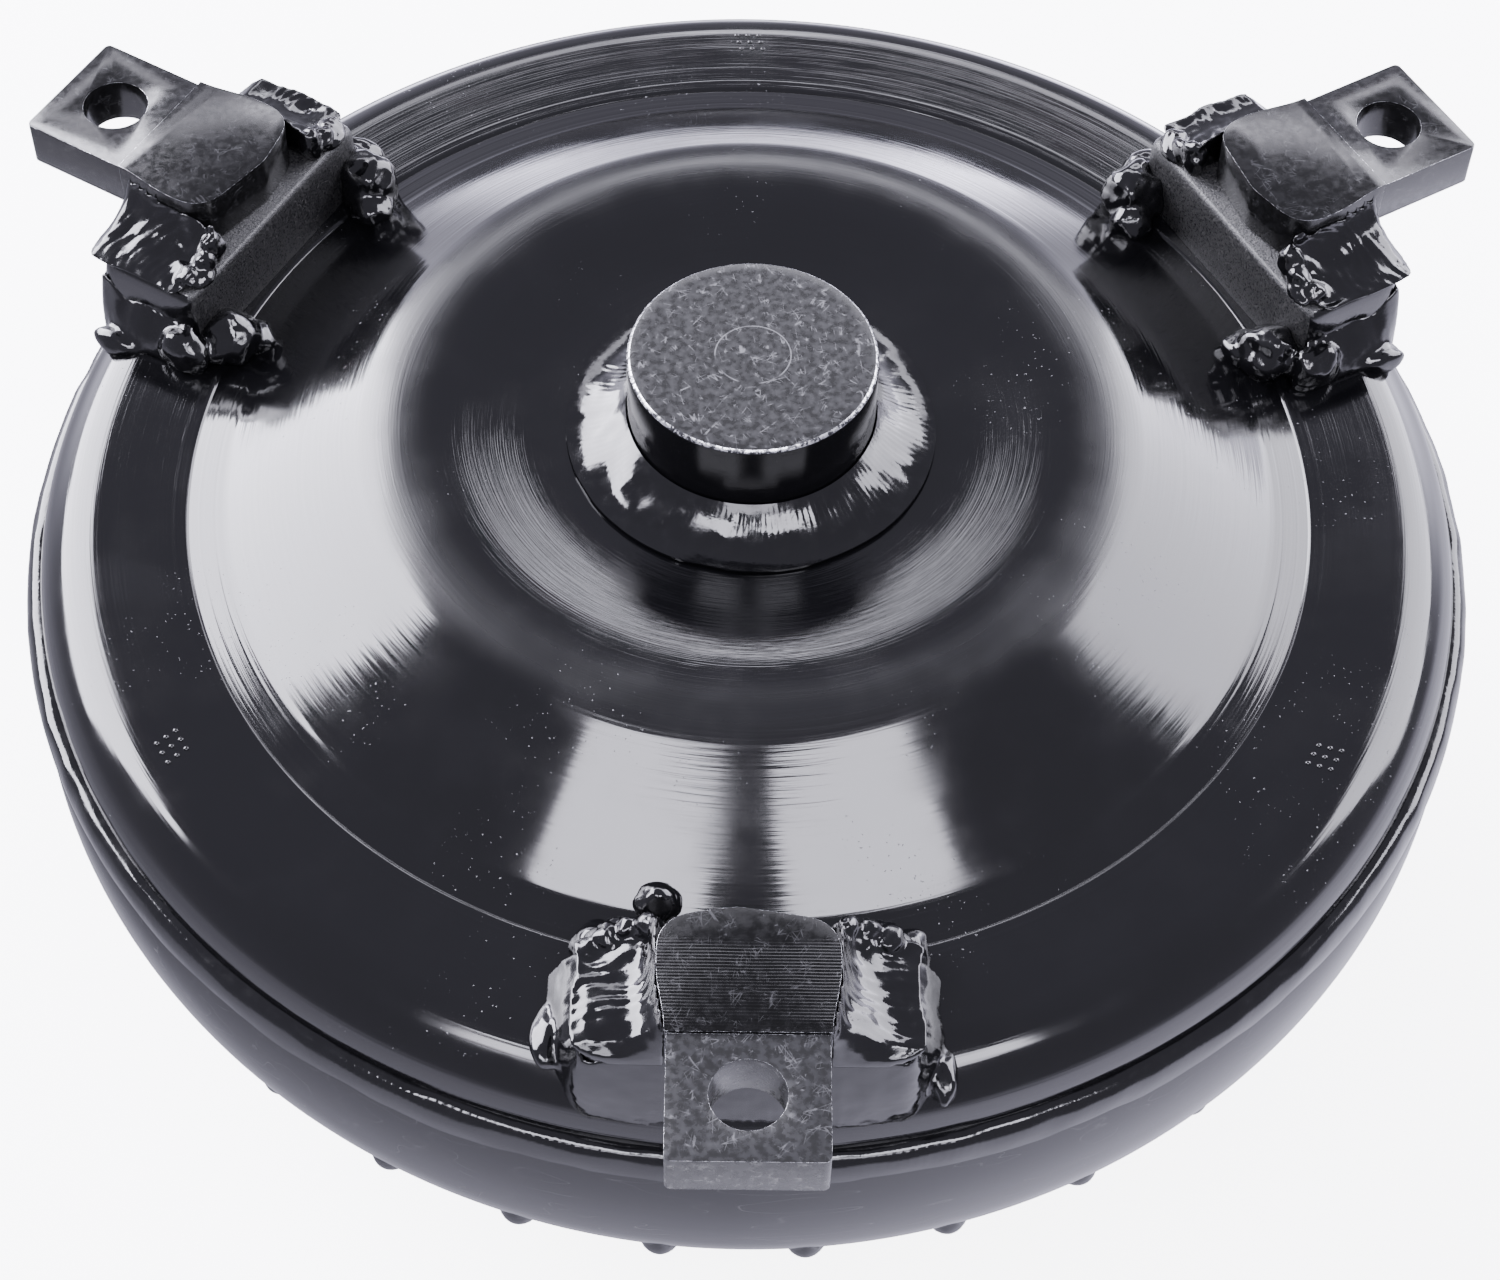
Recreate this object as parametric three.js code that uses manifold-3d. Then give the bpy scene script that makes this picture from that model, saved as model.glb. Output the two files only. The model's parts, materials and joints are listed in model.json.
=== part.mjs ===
// Torque converter, three mounting lugs, 10 inch class, no lock-up clutch.
// Millimetres, +Z up and towards the engine. The origin is the centre of the crank pilot's nose face.

import * as THREE from 'three';
import { mergeVertices } from 'three/addons/utils/BufferGeometryUtils.js';
import Module from 'manifold-3d';

const wasm = await Module();
wasm.setup();

// ---------- driving dimensions ----------

const GAP = 0.3; // clearance between touching pieces
const ROUND = 40; // facets round a large ring
const ROUND_MEDIUM = 24; // facets round a hub or race
const ROUND_SMALL = 8; // facets round a rivet or roller

// heights
const PILOT_RISE = 10.4; // pilot nose above the lug faces
const LUG_Z = -PILOT_RISE; // plane of the three lug faces
const BOWL_Z = LUG_Z - 9.0; // flat middle of the cover
const ANNULUS_Z = LUG_Z - 24.15; // flat ring that carries the lugs
const COVER_END_Z = LUG_Z - 52; // lower edge of the cover's wall
const LIP_Z = LUG_Z - 40; // upper edge of the impeller shell
const TORUS_Z = LUG_Z - 56; // plane between turbine and impeller
const HUB_SEAT_Z = LUG_Z - 83; // flat middle of the impeller shell, outside
const HUB_END_Z = LUG_Z - 142; // end of the pump drive hub

// crank pilot
const PILOT_RADIUS = 21.63;
const PILOT_CHAMFER = 0.6;
const PILOT_WELD_RADIUS = 32.4;
const PILOT_WELD_RISE = 4.4;
const BEAD_EDGE = 0.8; // thickness of a weld bead at its toe

// front cover
const COVER_WALL = 4.2;
const BOWL_FLAT_RADIUS = 33;
const BOWL_SIDE_RADIUS = 42; // where the bowl's side runs straight
const CREST_START_RADIUS = 50;
const CREST_INNER_ARC = 50; // from the bowl's side up to the top of the crest
const CREST_OUTER_ARC = 18; // from there over to the cone
const BOWL_SLOPE = THREE.MathUtils.degToRad(11.5);
const CONE_SLOPE = THREE.MathUtils.degToRad(31);
const CONE_END_RADIUS = 92.5;
const FOOT_FILLET = 15;
const ROLL_RADIUS = 12.3; // of the cover's shoulder
const COVER_RADIUS = 127.5;
const INNER_FOOT_RADIUS = 97.5; // where the inner face leaves the annulus
const INNER_CREST_RADIUS = 70;
const INNER_BOWL_RADIUS = 59;
const INNER_BOWL_RISE = 3.5;
const INNER_FLAT_RADIUS = 40;

// impeller shell
const SHELL_RADIUS = 130.4;
const LIP_BORE = COVER_RADIUS + GAP;
const SHELL_WALL = 3.5;
const SHELL_ARC = 38.5;
const SHELL_ARC_END = THREE.MathUtils.degToRad(-130);
const SHELL_SEAT_RADIUS = 57;
const RIM_WELD_RADIUS = 131;
const RIM_WELD_RISE = 4.9;
const DIMPLE_COUNT = 31;
const DIMPLE_START = THREE.MathUtils.degToRad(-84.9); // the first one right of the front lug
const DIMPLE_ANGLE = THREE.MathUtils.degToRad(-36);
const DIMPLE_WIDTH = 6.8;
const DIMPLE_RISE = 2.5;
const DIMPLE_ROOT = 0.3; // buried in the shell

// pump drive hub
const HUB_RADIUS = 23.81;
const HUB_BORE = 19.5;
const HUB_FLANGE_RADIUS = 38;
const HUB_FLANGE_TOP = LUG_Z - 73.5;
const HUB_SLOT_WIDTH = 10;
const HUB_SLOT_DEPTH = 11;
const HUB_CHAMFER = 1;
const HUB_CHAMFER_RISE = 1.5;
const HUB_WELD_RADIUS = 31;
const HUB_WELD_RISE = 5;

// mounting lugs
const LUG_ANGLES = [-90, 30, 150].map(THREE.MathUtils.degToRad);
const BOLT_CIRCLE_RADIUS = 136.525;
const BOLT_HOLE_RADIUS = 6;
const LUG_END_RADIUS = 147.6;
const LUG_STEP_RADIUS = 126.3;
const LUG_START_RADIUS = 104.3;
const LUG_PAD_WIDTH = 25.4;
const LUG_PAD_ROOT = 2; // of the pad inside the block
const LUG_PAD_THICKNESS = 9;
const LUG_BLOCK_WIDTH = 28.6;
const LUG_BLOCK_RISE = 0.7; // block top above the pad
const LUG_CORNER = 6;
const BASE_START_RADIUS = 101.5; // of the thick base plate under each lug
const BASE_END_RADIUS = 123.5;
const BASE_WIDTH = 53;
const BASE_TOP_Z = LUG_Z - LUG_PAD_THICKNESS - GAP;
const BASE_DEPTH = 6; // reach of the plate and its bead down the shoulder
const BASE_WELD_RISE = 4;
const BASE_WELD_WIDTH = 3.2;
const LUG_WELD_RISE = 8;

// turbine
const TORUS_RADIUS = 85.5;
const TURBINE_REACH = 35.5;
const TURBINE_DEPTH = 26.5;
const TURBINE_WALL = 2;
const TURBINE_SEAT_Z = LUG_Z - 37.5;
const TURBINE_FIN_COUNT = 29;
const TURBINE_HUB_TOP = LUG_Z - 19.5;
const TURBINE_HUB_END = LUG_Z - 44;
const TURBINE_HUB_RADIUS = 24;
const TURBINE_FLANGE_RADIUS = 44;
const TURBINE_FLANGE_WALL = 4;
const TURBINE_FLANGE_ROOT = 2; // of the flange inside the sleeve
const SHAFT_SPLINE_RADIUS = 13.5;
const SHAFT_SPLINE_COUNT = 16;
const SHAFT_SPLINE_DEPTH = 1;
const RIVET_COUNT = 6;
const RIVET_CIRCLE = 36;
const RIVET_RADIUS = 2.6;
const RIVET_HEAD_RADIUS = 4;
const RIVET_HEAD = 1.6;
const RIVET_HEAD_EDGE = 1; // of the head's bevel
const DRILL_REACH = 10;

// core rings and fins
const CORE_RADIUS = 88;
const CORE_ARC = 14.5;
const CORE_WALL = 1.6;
const FIN_WALL = 1.2;
const IMPELLER_FIN_LEAN = 0.16; // radians over a fin's length
const TURBINE_FIN_LEAN = -0.42;
const FIN_CLEARANCE = 1; // between a fin's edge and its shell
const FIN_HALF_GAP = 1; // from the torus plane to a wheel's fins
const FIN_LIP_ANGLE = 0.03; // radians that a fin stops short of its shell's lip
const FIN_SEAT_STEP = 2; // of a fin's inner edge inside the shell's seat
const TURBINE_FIN_CUT = 0.1; // radians that a fin stops short of the turbine's seat
const IMPELLER_FIN_RISE = 7; // of a fin's inner edge above the shell
const TURBINE_FIN_RADIUS = 54; // of a fin's inner edge
const TURBINE_FIN_DROP = 9.5; // of that edge below the hub flange

// stator and one-way clutch
const STATOR_TOP = LUG_Z - 49.8;
const STATOR_END = LUG_Z - 71.2;
const STATOR_BORE = 41.3;
const STATOR_HUB_RADIUS = 47;
const STATOR_RIM_RADIUS = 66;
const STATOR_RIM_WALL = 2;
const STATOR_RIM_TOP = STATOR_TOP - 1;
const STATOR_RIM_END = STATOR_END + 2;
const STATOR_BLADE_COUNT = 13;
const STATOR_BLADE_ANGLE = THREE.MathUtils.degToRad(38);
const STATOR_BLADE_CHORD = 18;
const STATOR_BLADE_WALL = 3.4;
const STATOR_BLADE_ROOT = 1; // of a blade inside the hub and the rim
const CAP_WALL = 2;
const CAP_BORE = 22;
const CLUTCH_TOP = STATOR_TOP - CAP_WALL - GAP;
const CLUTCH_END = LUG_Z - 65.7;
const CAM_RADIUS = 41;
const CAM_BORE = 29;
const CAM_SEAT_RADIUS = 34.4; // floor of a pocket at its spring
const CAM_RAMP_RADIUS = 33.2; // floor at the narrow end, where the roller wedges
const INNER_RACE_RADIUS = 27;
const INNER_RACE_BORE = 20;
const SUPPORT_SPLINE_COUNT = 18;
const ROLLER_COUNT = 6;
const ROLLER_RADIUS = 2.9;
const ROLLER_INSET = 0.5;
const ROLLER_CLEARANCE = 0.2;
const SPRING_CIRCLE = 31;
const SPRING_FOLDS = 5;
const SPRING_FOLD_PITCH = 1.3;
const SPRING_FOLD_REACH = 1.5;
const SPRING_WALL = 0.6;
const SPRING_INSET = 2;
const SNAP_GROOVE_RADIUS = 43.1;
const SNAP_RING_WALL = 1.5;
const SNAP_RING_CLEARANCE = 0.5; // from the groove's floor
const SNAP_RING_BORE = 37.5;
const SNAP_RING_OPENING = THREE.MathUtils.degToRad(24);
const SNAP_PLAY = 0.4; // of the ring in its groove

// thrust bearings
const BEARING_BORE = 22.3;
const BEARING_RADIUS = 34;
const BEARING_RACE = 1.1;
const BEARING_CAGE = 1;
const NEEDLE_RADIUS = 1.1;
const NEEDLE_COUNT = 8;
const NEEDLE_LENGTH = 7;
const NEEDLE_START = 0.1; // radians, clear of the cage's corners
const FRONT_BEARING_Z = LUG_Z - 16.55;
const MIDDLE_BEARING_Z = LUG_Z - 46.9;
const REAR_BEARING_Z = LUG_Z - 70.85;

// ---------- finishes ----------

function finish(color, roughness, metalness) {
  return new THREE.MeshStandardMaterial({ color, roughness, metalness });
}

const BLACK_PAINT = finish(0x0c0c0e, 0.14, 0);
const PAINTED_WELD = finish(0x111113, 0.2, 0);
const WORN_LUG = finish(0x1b1b1c, 0.32, 0.2);
const MACHINED_STEEL = finish(0x9a9c9f, 0.3, 1);
const PRESSED_STEEL = finish(0x77797c, 0.42, 1);
const CAST_ALUMINIUM = finish(0xb4b6b8, 0.5, 1);
const SPRING_STEEL = finish(0x5e6064, 0.35, 1);

// ---------- geometry helpers ----------

const { sin, cos, tan, PI } = Math;

// Points along an arc in the plane of radius and height.
function arc(centreRadius, centreHeight, radius, start, end, steps, squash = 1) {
  return Array.from({ length: steps + 1 }, (_, i) => {
    const angle = start + ((end - start) * i) / steps;
    return [centreRadius + radius * cos(angle), centreHeight + radius * squash * sin(angle)];
  });
}

// Body of revolution about Z from a closed outline of [radius, height] points.
function revolve(outline, facets) {
  const points = outline.map(([radius, height]) => new THREE.Vector2(radius, height));
  const geometry = new THREE.LatheGeometry(points, facets);
  geometry.rotateX(PI / 2);
  return geometry;
}

// A ring: the outline closes on itself.
const revolveRing = (outline, facets) => revolve([...outline, outline[0]], facets);

const flatRing = (bore, radius, bottom, top, facets) =>
  revolveRing([[bore, bottom], [radius, bottom], [radius, top], [bore, top]], facets);

// Prism from a shape in XY, standing on a height.
function prism(shape, bottom, height, curveSegments = 6) {
  const geometry = new THREE.ExtrudeGeometry(shape, { depth: height, bevelEnabled: false, curveSegments });
  geometry.translate(0, 0, bottom);
  return geometry;
}

const polygon = (points) => new THREE.Shape(points.map(([x, y]) => new THREE.Vector2(x, y)));

// Turns a three.js geometry into a solid for joining and cutting.
function solid(geometry) {
  const bare = geometry.clone();
  bare.deleteAttribute('normal');
  bare.deleteAttribute('uv');
  const merged = mergeVertices(bare, 1e-4);
  const triangles = [];
  const corners = merged.index.array;
  for (let i = 0; i < corners.length; i += 3) {
    const [a, b, c] = corners.slice(i, i + 3);
    if (a !== b && b !== c && c !== a) {
      triangles.push(a, b, c);
    }
  }
  return new wasm.Manifold(
    new wasm.Mesh({
      numProp: 3,
      vertProperties: new Float32Array(merged.attributes.position.array),
      triVerts: new Uint32Array(triangles),
    }),
  );
}

function geometryOf(joined) {
  const mesh = joined.getMesh();
  const geometry = new THREE.BufferGeometry();
  geometry.setAttribute('position', new THREE.BufferAttribute(mesh.vertProperties, 3));
  geometry.setIndex(new THREE.BufferAttribute(mesh.triVerts, 1));
  return geometry;
}

const join = (geometries) => geometries.map(solid).reduce((whole, piece) => whole.add(piece));

const turned = (geometry, angle) => geometry.clone().rotateZ(angle);

function ringAngles(count, start = 0) {
  return Array.from({ length: count }, (_, i) => start + (2 * PI * i) / count);
}

function cylinder(radius, bottom, top, facets, x = 0, y = 0) {
  const geometry = new THREE.CylinderGeometry(radius, radius, top - bottom, facets);
  geometry.rotateX(PI / 2);
  geometry.translate(x, y, (bottom + top) / 2);
  return geometry;
}

// Concave fillet section of a bead, as [reach, height], from its toe on the floor to its root on the wall.
// A negative rise hangs it below the floor.
function filletSection(root, toe, floor, rise) {
  const steps = 4;
  const edge = Math.sign(rise) * BEAD_EDGE;
  const face = Array.from({ length: steps + 1 }, (_, i) => {
    const angle = ((PI / 2) * i) / steps;
    return [toe - (toe - root) * sin(angle), floor + edge + rise * (1 - cos(angle))];
  });
  const outline = [[root, floor], [toe, floor], ...face];
  return rise > 0 ? outline : outline.reverse();
}

const model = new THREE.Group();

function add(name, geometry, material, parent = model) {
  const mesh = new THREE.Mesh(geometry, material);
  mesh.name = name;
  parent.add(mesh);
  return mesh;
}

// ---------- front cover and crank pilot ----------

// Outer face of the cover from the axis to the end of its wall: a flat middle, a bowl with a straight side,
// a crest, a cone, a fillet at its foot, the flat annulus, the rolled shoulder and the wall.
function coverFace() {
  const turnWidth = BOWL_SIDE_RADIUS - BOWL_FLAT_RADIUS;
  const turnRise = 0.5 * tan(BOWL_SLOPE) * turnWidth;
  const bowl = [0, 0.5, 1].map((t) => {
    return [BOWL_FLAT_RADIUS + t * turnWidth, BOWL_Z + turnRise * t * t];
  });
  const sideRise = (CREST_START_RADIUS - BOWL_SIDE_RADIUS) * tan(BOWL_SLOPE);
  const crestRadius = CREST_START_RADIUS + CREST_INNER_ARC * sin(BOWL_SLOPE);
  const crestTop = BOWL_Z + turnRise + sideRise + CREST_INNER_ARC * (1 - cos(BOWL_SLOPE));
  const inner = arc(crestRadius, crestTop - CREST_INNER_ARC, CREST_INNER_ARC, PI / 2 + BOWL_SLOPE, PI / 2, 2);
  const outer = arc(crestRadius, crestTop - CREST_OUTER_ARC, CREST_OUTER_ARC, PI / 2, PI / 2 - CONE_SLOPE, 3);
  const footRadius = CONE_END_RADIUS + FOOT_FILLET * sin(CONE_SLOPE);
  const footHeight = ANNULUS_Z + FOOT_FILLET;
  const foot = arc(footRadius, footHeight, FOOT_FILLET, -PI / 2 - CONE_SLOPE, -PI / 2, 2);
  const roll = arc(COVER_RADIUS - ROLL_RADIUS, ANNULUS_Z - ROLL_RADIUS, ROLL_RADIUS, PI / 2, 0, 4);
  return [[0, BOWL_Z], ...bowl, ...inner, ...outer.slice(1), ...foot, ...roll, [COVER_RADIUS, COVER_END_Z]];
}

// Inner face, from the end of the wall back to the axis.
function coverInnerFace() {
  const wallRadius = COVER_RADIUS - COVER_WALL;
  const ringHeight = ANNULUS_Z - COVER_WALL;
  const innerRoll = ROLL_RADIUS - COVER_WALL;
  const roll = arc(wallRadius - innerRoll, ringHeight - innerRoll, innerRoll, 0, PI / 2, 2);
  const bowlHeight = BOWL_Z - COVER_WALL;
  const coneTop = ringHeight + (INNER_FOOT_RADIUS - INNER_CREST_RADIUS) * tan(CONE_SLOPE);
  return [
    [wallRadius, COVER_END_Z],
    ...roll,
    [INNER_FOOT_RADIUS, ringHeight],
    [INNER_CREST_RADIUS, coneTop],
    [INNER_BOWL_RADIUS, bowlHeight + INNER_BOWL_RISE],
    [INNER_FLAT_RADIUS, bowlHeight],
    [0, bowlHeight],
  ];
}

add('front_cover', revolve([...coverFace(), ...coverInnerFace()].reverse(), ROUND), BLACK_PAINT);

const pilotBase = BOWL_Z + GAP;
const crankPilot = [
  [0, pilotBase],
  [PILOT_RADIUS, pilotBase],
  [PILOT_RADIUS, -PILOT_CHAMFER],
  [PILOT_RADIUS - PILOT_CHAMFER, 0],
  [0, 0],
];
add('crank_pilot', revolve(crankPilot, ROUND), WORN_LUG);

// Fillet bead round the pilot's foot.
const pilotBead = filletSection(PILOT_RADIUS + GAP, PILOT_WELD_RADIUS, pilotBase, PILOT_WELD_RISE);
add('pilot_weld', revolveRing(pilotBead, ROUND), PAINTED_WELD);

// ---------- mounting lugs ----------

// Every piece of a lug is drawn with X running outwards from the converter's axis.
function lugShape() {
  const pad = polygon([
    [LUG_STEP_RADIUS - LUG_PAD_ROOT, -LUG_PAD_WIDTH / 2],
    [LUG_END_RADIUS, -LUG_PAD_WIDTH / 2],
    [LUG_END_RADIUS, LUG_PAD_WIDTH / 2],
    [LUG_STEP_RADIUS - LUG_PAD_ROOT, LUG_PAD_WIDTH / 2],
  ]);
  pad.holes.push(new THREE.Path().absarc(BOLT_CIRCLE_RADIUS, 0, BOLT_HOLE_RADIUS, 0, 2 * PI, true));
  const halfWidth = LUG_BLOCK_WIDTH / 2;
  const corner = LUG_START_RADIUS + LUG_CORNER;
  const block = new THREE.Shape();
  block.moveTo(corner, -halfWidth);
  block.lineTo(LUG_STEP_RADIUS, -halfWidth);
  block.lineTo(LUG_STEP_RADIUS, halfWidth);
  block.lineTo(corner, halfWidth);
  block.quadraticCurveTo(LUG_START_RADIUS, halfWidth, LUG_START_RADIUS, halfWidth - LUG_CORNER);
  block.lineTo(LUG_START_RADIUS, LUG_CORNER - halfWidth);
  block.quadraticCurveTo(LUG_START_RADIUS, -halfWidth, corner, -halfWidth);
  const bottom = LUG_Z - LUG_PAD_THICKNESS;
  return geometryOf(join([
    prism(pad, bottom, LUG_PAD_THICKNESS, 8),
    prism(block, bottom, LUG_PAD_THICKNESS + LUG_BLOCK_RISE, 3),
  ]));
}

// Stands on the cover: what reaches into the shoulder or the annulus is cut away, with a gap.
const coverClearance = solid(revolve([
  [0, COVER_END_Z],
  [COVER_RADIUS + GAP, COVER_END_Z],
  ...arc(COVER_RADIUS - ROLL_RADIUS, ANNULUS_Z - ROLL_RADIUS, ROLL_RADIUS + GAP, 0, PI / 2, 4),
  [0, ANNULUS_Z + GAP],
], ROUND));
const coverPlan = solid(cylinder(COVER_RADIUS, COVER_END_Z, 0, ROUND));

function standOnCover(shape, top) {
  const bottom = ANNULUS_Z - BASE_DEPTH;
  const block = solid(prism(shape, bottom, top - bottom));
  return block.intersect(coverPlan).subtract(coverClearance);
}

// Corners of a rectangle round the base plate, at a distance from it.
function baseOutline(margin) {
  const start = BASE_START_RADIUS - margin;
  const end = BASE_END_RADIUS + margin;
  const half = BASE_WIDTH / 2 + margin;
  return [[start, -half], [end, -half], [end, half], [start, half]];
}

// Bead round the base plate's foot, which follows the cover.
function baseWeldShape() {
  const shape = polygon(baseOutline(GAP + BASE_WELD_WIDTH));
  shape.holes.push(new THREE.Path(baseOutline(GAP).map(([x, y]) => new THREE.Vector2(x, y))));
  return shape;
}

// Concave fillet between the lug's side and the base plate; side is 1 or -1.
function lugWeldShape(side) {
  const root = LUG_BLOCK_WIDTH / 2 + GAP;
  const outline = filletSection(root, BASE_WIDTH / 2, BASE_TOP_Z + GAP, LUG_WELD_RISE);
  const section = side > 0 ? outline : outline.map(([y, z]) => [-y, z]).reverse();
  const start = LUG_START_RADIUS + 1;
  const depth = BASE_END_RADIUS - start;
  const bead = new THREE.ExtrudeGeometry(polygon(section), { depth, bevelEnabled: false });
  bead.rotateX(PI / 2);
  bead.rotateZ(PI / 2);
  bead.translate(start, 0, 0);
  return bead;
}

const lugBase = standOnCover(polygon(baseOutline(0)), BASE_TOP_Z);
const baseWeld = standOnCover(baseWeldShape(), ANNULUS_Z + BASE_WELD_RISE);
const lugGeometry = lugShape();
LUG_ANGLES.forEach((angle, i) => {
  const station = new THREE.Group();
  station.rotation.z = angle;
  add(`mounting_lug_${i + 1}`, lugGeometry, WORN_LUG, station);
  add(`lug_base_${i + 1}`, geometryOf(lugBase), BLACK_PAINT, station);
  add(`lug_weld_${i + 1}_left`, lugWeldShape(1), PAINTED_WELD, station);
  add(`lug_weld_${i + 1}_right`, lugWeldShape(-1), PAINTED_WELD, station);
  add(`base_weld_${i + 1}`, geometryOf(baseWeld), PAINTED_WELD, station);
  model.add(station);
});

// ---------- impeller shell, rim weld and pump drive hub ----------

const shellCentre = SHELL_RADIUS - SHELL_ARC;

function impellerShell() {
  const outerArc = arc(shellCentre, TORUS_Z, SHELL_ARC, SHELL_ARC_END, 0, 7);
  const innerArc = arc(shellCentre, TORUS_Z, SHELL_ARC - SHELL_WALL, 0, SHELL_ARC_END, 6);
  const outline = [
    [HUB_RADIUS + GAP, HUB_SEAT_Z],
    [SHELL_SEAT_RADIUS, HUB_SEAT_Z],
    ...outerArc,
    [SHELL_RADIUS, LIP_Z],
    [LIP_BORE, LIP_Z],
    [LIP_BORE, COVER_END_Z - GAP],
    [SHELL_RADIUS - SHELL_WALL, COVER_END_Z - GAP],
    ...innerArc,
    [SHELL_SEAT_RADIUS + 1.5, HUB_SEAT_Z + SHELL_WALL],
    [HUB_RADIUS + GAP, HUB_SEAT_Z + SHELL_WALL],
  ];
  const dimple = new THREE.SphereGeometry(1, 6, 3);
  dimple.scale(DIMPLE_RISE + DIMPLE_ROOT, DIMPLE_WIDTH / 2, DIMPLE_WIDTH / 2);
  dimple.translate(-DIMPLE_ROOT, 0, 0);
  dimple.rotateY(-DIMPLE_ANGLE);
  dimple.translate(shellCentre + SHELL_ARC * cos(DIMPLE_ANGLE), 0, TORUS_Z + SHELL_ARC * sin(DIMPLE_ANGLE));
  const dimples = ringAngles(DIMPLE_COUNT, DIMPLE_START).map((angle) => turned(dimple, angle));
  return geometryOf(join([revolveRing(outline, ROUND), ...dimples]));
}

add('impeller_shell', impellerShell(), BLACK_PAINT);

// Bead on the shell's lip, against the cover's wall.
const rimWeldWidth = RIM_WELD_RADIUS - COVER_RADIUS - GAP;
const rimBead = [
  [COVER_RADIUS + GAP, LIP_Z + GAP],
  ...arc(COVER_RADIUS + GAP, LIP_Z + GAP, rimWeldWidth, 0, PI / 2, 3, RIM_WELD_RISE / rimWeldWidth),
];
add('rim_weld', revolveRing(rimBead, ROUND), PAINTED_WELD);

function impellerHub() {
  const flangeSeat = HUB_SEAT_Z + SHELL_WALL + GAP;
  const outline = [
    [HUB_BORE, HUB_END_Z],
    [HUB_RADIUS - HUB_CHAMFER, HUB_END_Z],
    [HUB_RADIUS, HUB_END_Z + HUB_CHAMFER_RISE],
    [HUB_RADIUS, flangeSeat],
    [HUB_FLANGE_RADIUS, flangeSeat],
    [HUB_FLANGE_RADIUS, HUB_FLANGE_TOP],
    [HUB_BORE, HUB_FLANGE_TOP],
  ];
  const slot = new THREE.BoxGeometry(HUB_SLOT_WIDTH, 3 * HUB_RADIUS, 2 * HUB_SLOT_DEPTH);
  slot.translate(0, 0, HUB_END_Z);
  return geometryOf(solid(revolveRing(outline, ROUND_MEDIUM)).subtract(solid(slot)));
}

add('impeller_hub', impellerHub(), MACHINED_STEEL);

const hubBead = filletSection(HUB_RADIUS + GAP, HUB_WELD_RADIUS, HUB_SEAT_Z - GAP, -HUB_WELD_RISE);
add('hub_weld', revolveRing(hubBead, ROUND_MEDIUM), PAINTED_WELD);

// ---------- fins and core rings ----------

// Turns each vertex about Z in proportion to its place along the flow, which bends flat fins.
function lean(geometry, centreRadius, centreHeight, amount) {
  const position = geometry.attributes.position;
  for (let i = 0; i < position.count; i += 1) {
    const [x, y, z] = [position.getX(i), position.getY(i), position.getZ(i)];
    const radius = Math.hypot(x, y);
    const along = Math.atan2(Math.abs(z - centreHeight), radius - centreRadius) / PI;
    const angle = Math.atan2(y, x) + amount * along;
    position.setXYZ(i, radius * cos(angle), radius * sin(angle), z);
  }
  return geometry;
}

// A fin from its outline in the plane of radius and height, standing on the +X side.
function fin(outline) {
  const geometry = new THREE.ExtrudeGeometry(polygon(outline), { depth: FIN_WALL, bevelEnabled: false });
  geometry.rotateX(PI / 2);
  geometry.translate(0, FIN_WALL / 2, 0);
  return geometry;
}

// Half a hollow torus that holds the fins' inner edges; side is 1 above the torus plane, -1 below.
function coreRing(side, facets) {
  const base = TORUS_Z + side * FIN_HALF_GAP;
  const outer = arc(CORE_RADIUS, base, CORE_ARC + CORE_WALL / 2, 0, side * PI, 3);
  const inner = arc(CORE_RADIUS, base, CORE_ARC - CORE_WALL / 2, side * PI, 0, 3);
  const outline = [...outer, ...inner];
  return revolveRing(side > 0 ? outline : outline.reverse(), facets);
}

// The flat fins stand in the middle of the core ring's facets and bend together with it.
function finnedRing(outline, count, side, leanAmount) {
  const blade = fin(outline);
  const blades = ringAngles(count, PI / count).map((angle) => turned(blade, angle));
  const wheel = geometryOf(join([coreRing(side, count), ...blades]));
  return lean(wheel, CORE_RADIUS, TORUS_Z, leanAmount);
}

const finEdge = TORUS_Z - FIN_HALF_GAP;
const impellerInside = HUB_SEAT_Z + SHELL_WALL;
const impellerFin = [
  ...arc(shellCentre, TORUS_Z, SHELL_ARC - SHELL_WALL - FIN_CLEARANCE, -FIN_LIP_ANGLE, SHELL_ARC_END, 4),
  [SHELL_SEAT_RADIUS, impellerInside + FIN_CLEARANCE],
  [SHELL_SEAT_RADIUS - FIN_SEAT_STEP, impellerInside + IMPELLER_FIN_RISE],
  ...arc(CORE_RADIUS, finEdge, CORE_ARC, (-2 * PI) / 3, 0, 2),
];
const impellerFins = finnedRing(impellerFin.reverse(), DIMPLE_COUNT, -1, IMPELLER_FIN_LEAN);
// One fin to each dimple.
add('impeller_fins', impellerFins, PRESSED_STEEL).rotation.z = DIMPLE_START - PI / DIMPLE_COUNT;

// ---------- turbine ----------

const turbineSquash = TURBINE_DEPTH / TURBINE_REACH;
const turbineEdge = TORUS_Z + FIN_HALF_GAP;
const turbineArcEnd = THREE.MathUtils.degToRad(141);

const rivetPlaces = ringAngles(RIVET_COUNT).map((angle) => {
  return [RIVET_CIRCLE * cos(angle), RIVET_CIRCLE * sin(angle)];
});

function drillRivetHoles(geometry) {
  const [bottom, top] = [TURBINE_SEAT_Z - DRILL_REACH, TURBINE_SEAT_Z + DRILL_REACH];
  const holes = rivetPlaces.map(([x, y]) => {
    return cylinder(RIVET_RADIUS + GAP, bottom, top, ROUND_SMALL, x, y);
  });
  return geometryOf(solid(geometry).subtract(join(holes)));
}

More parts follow.
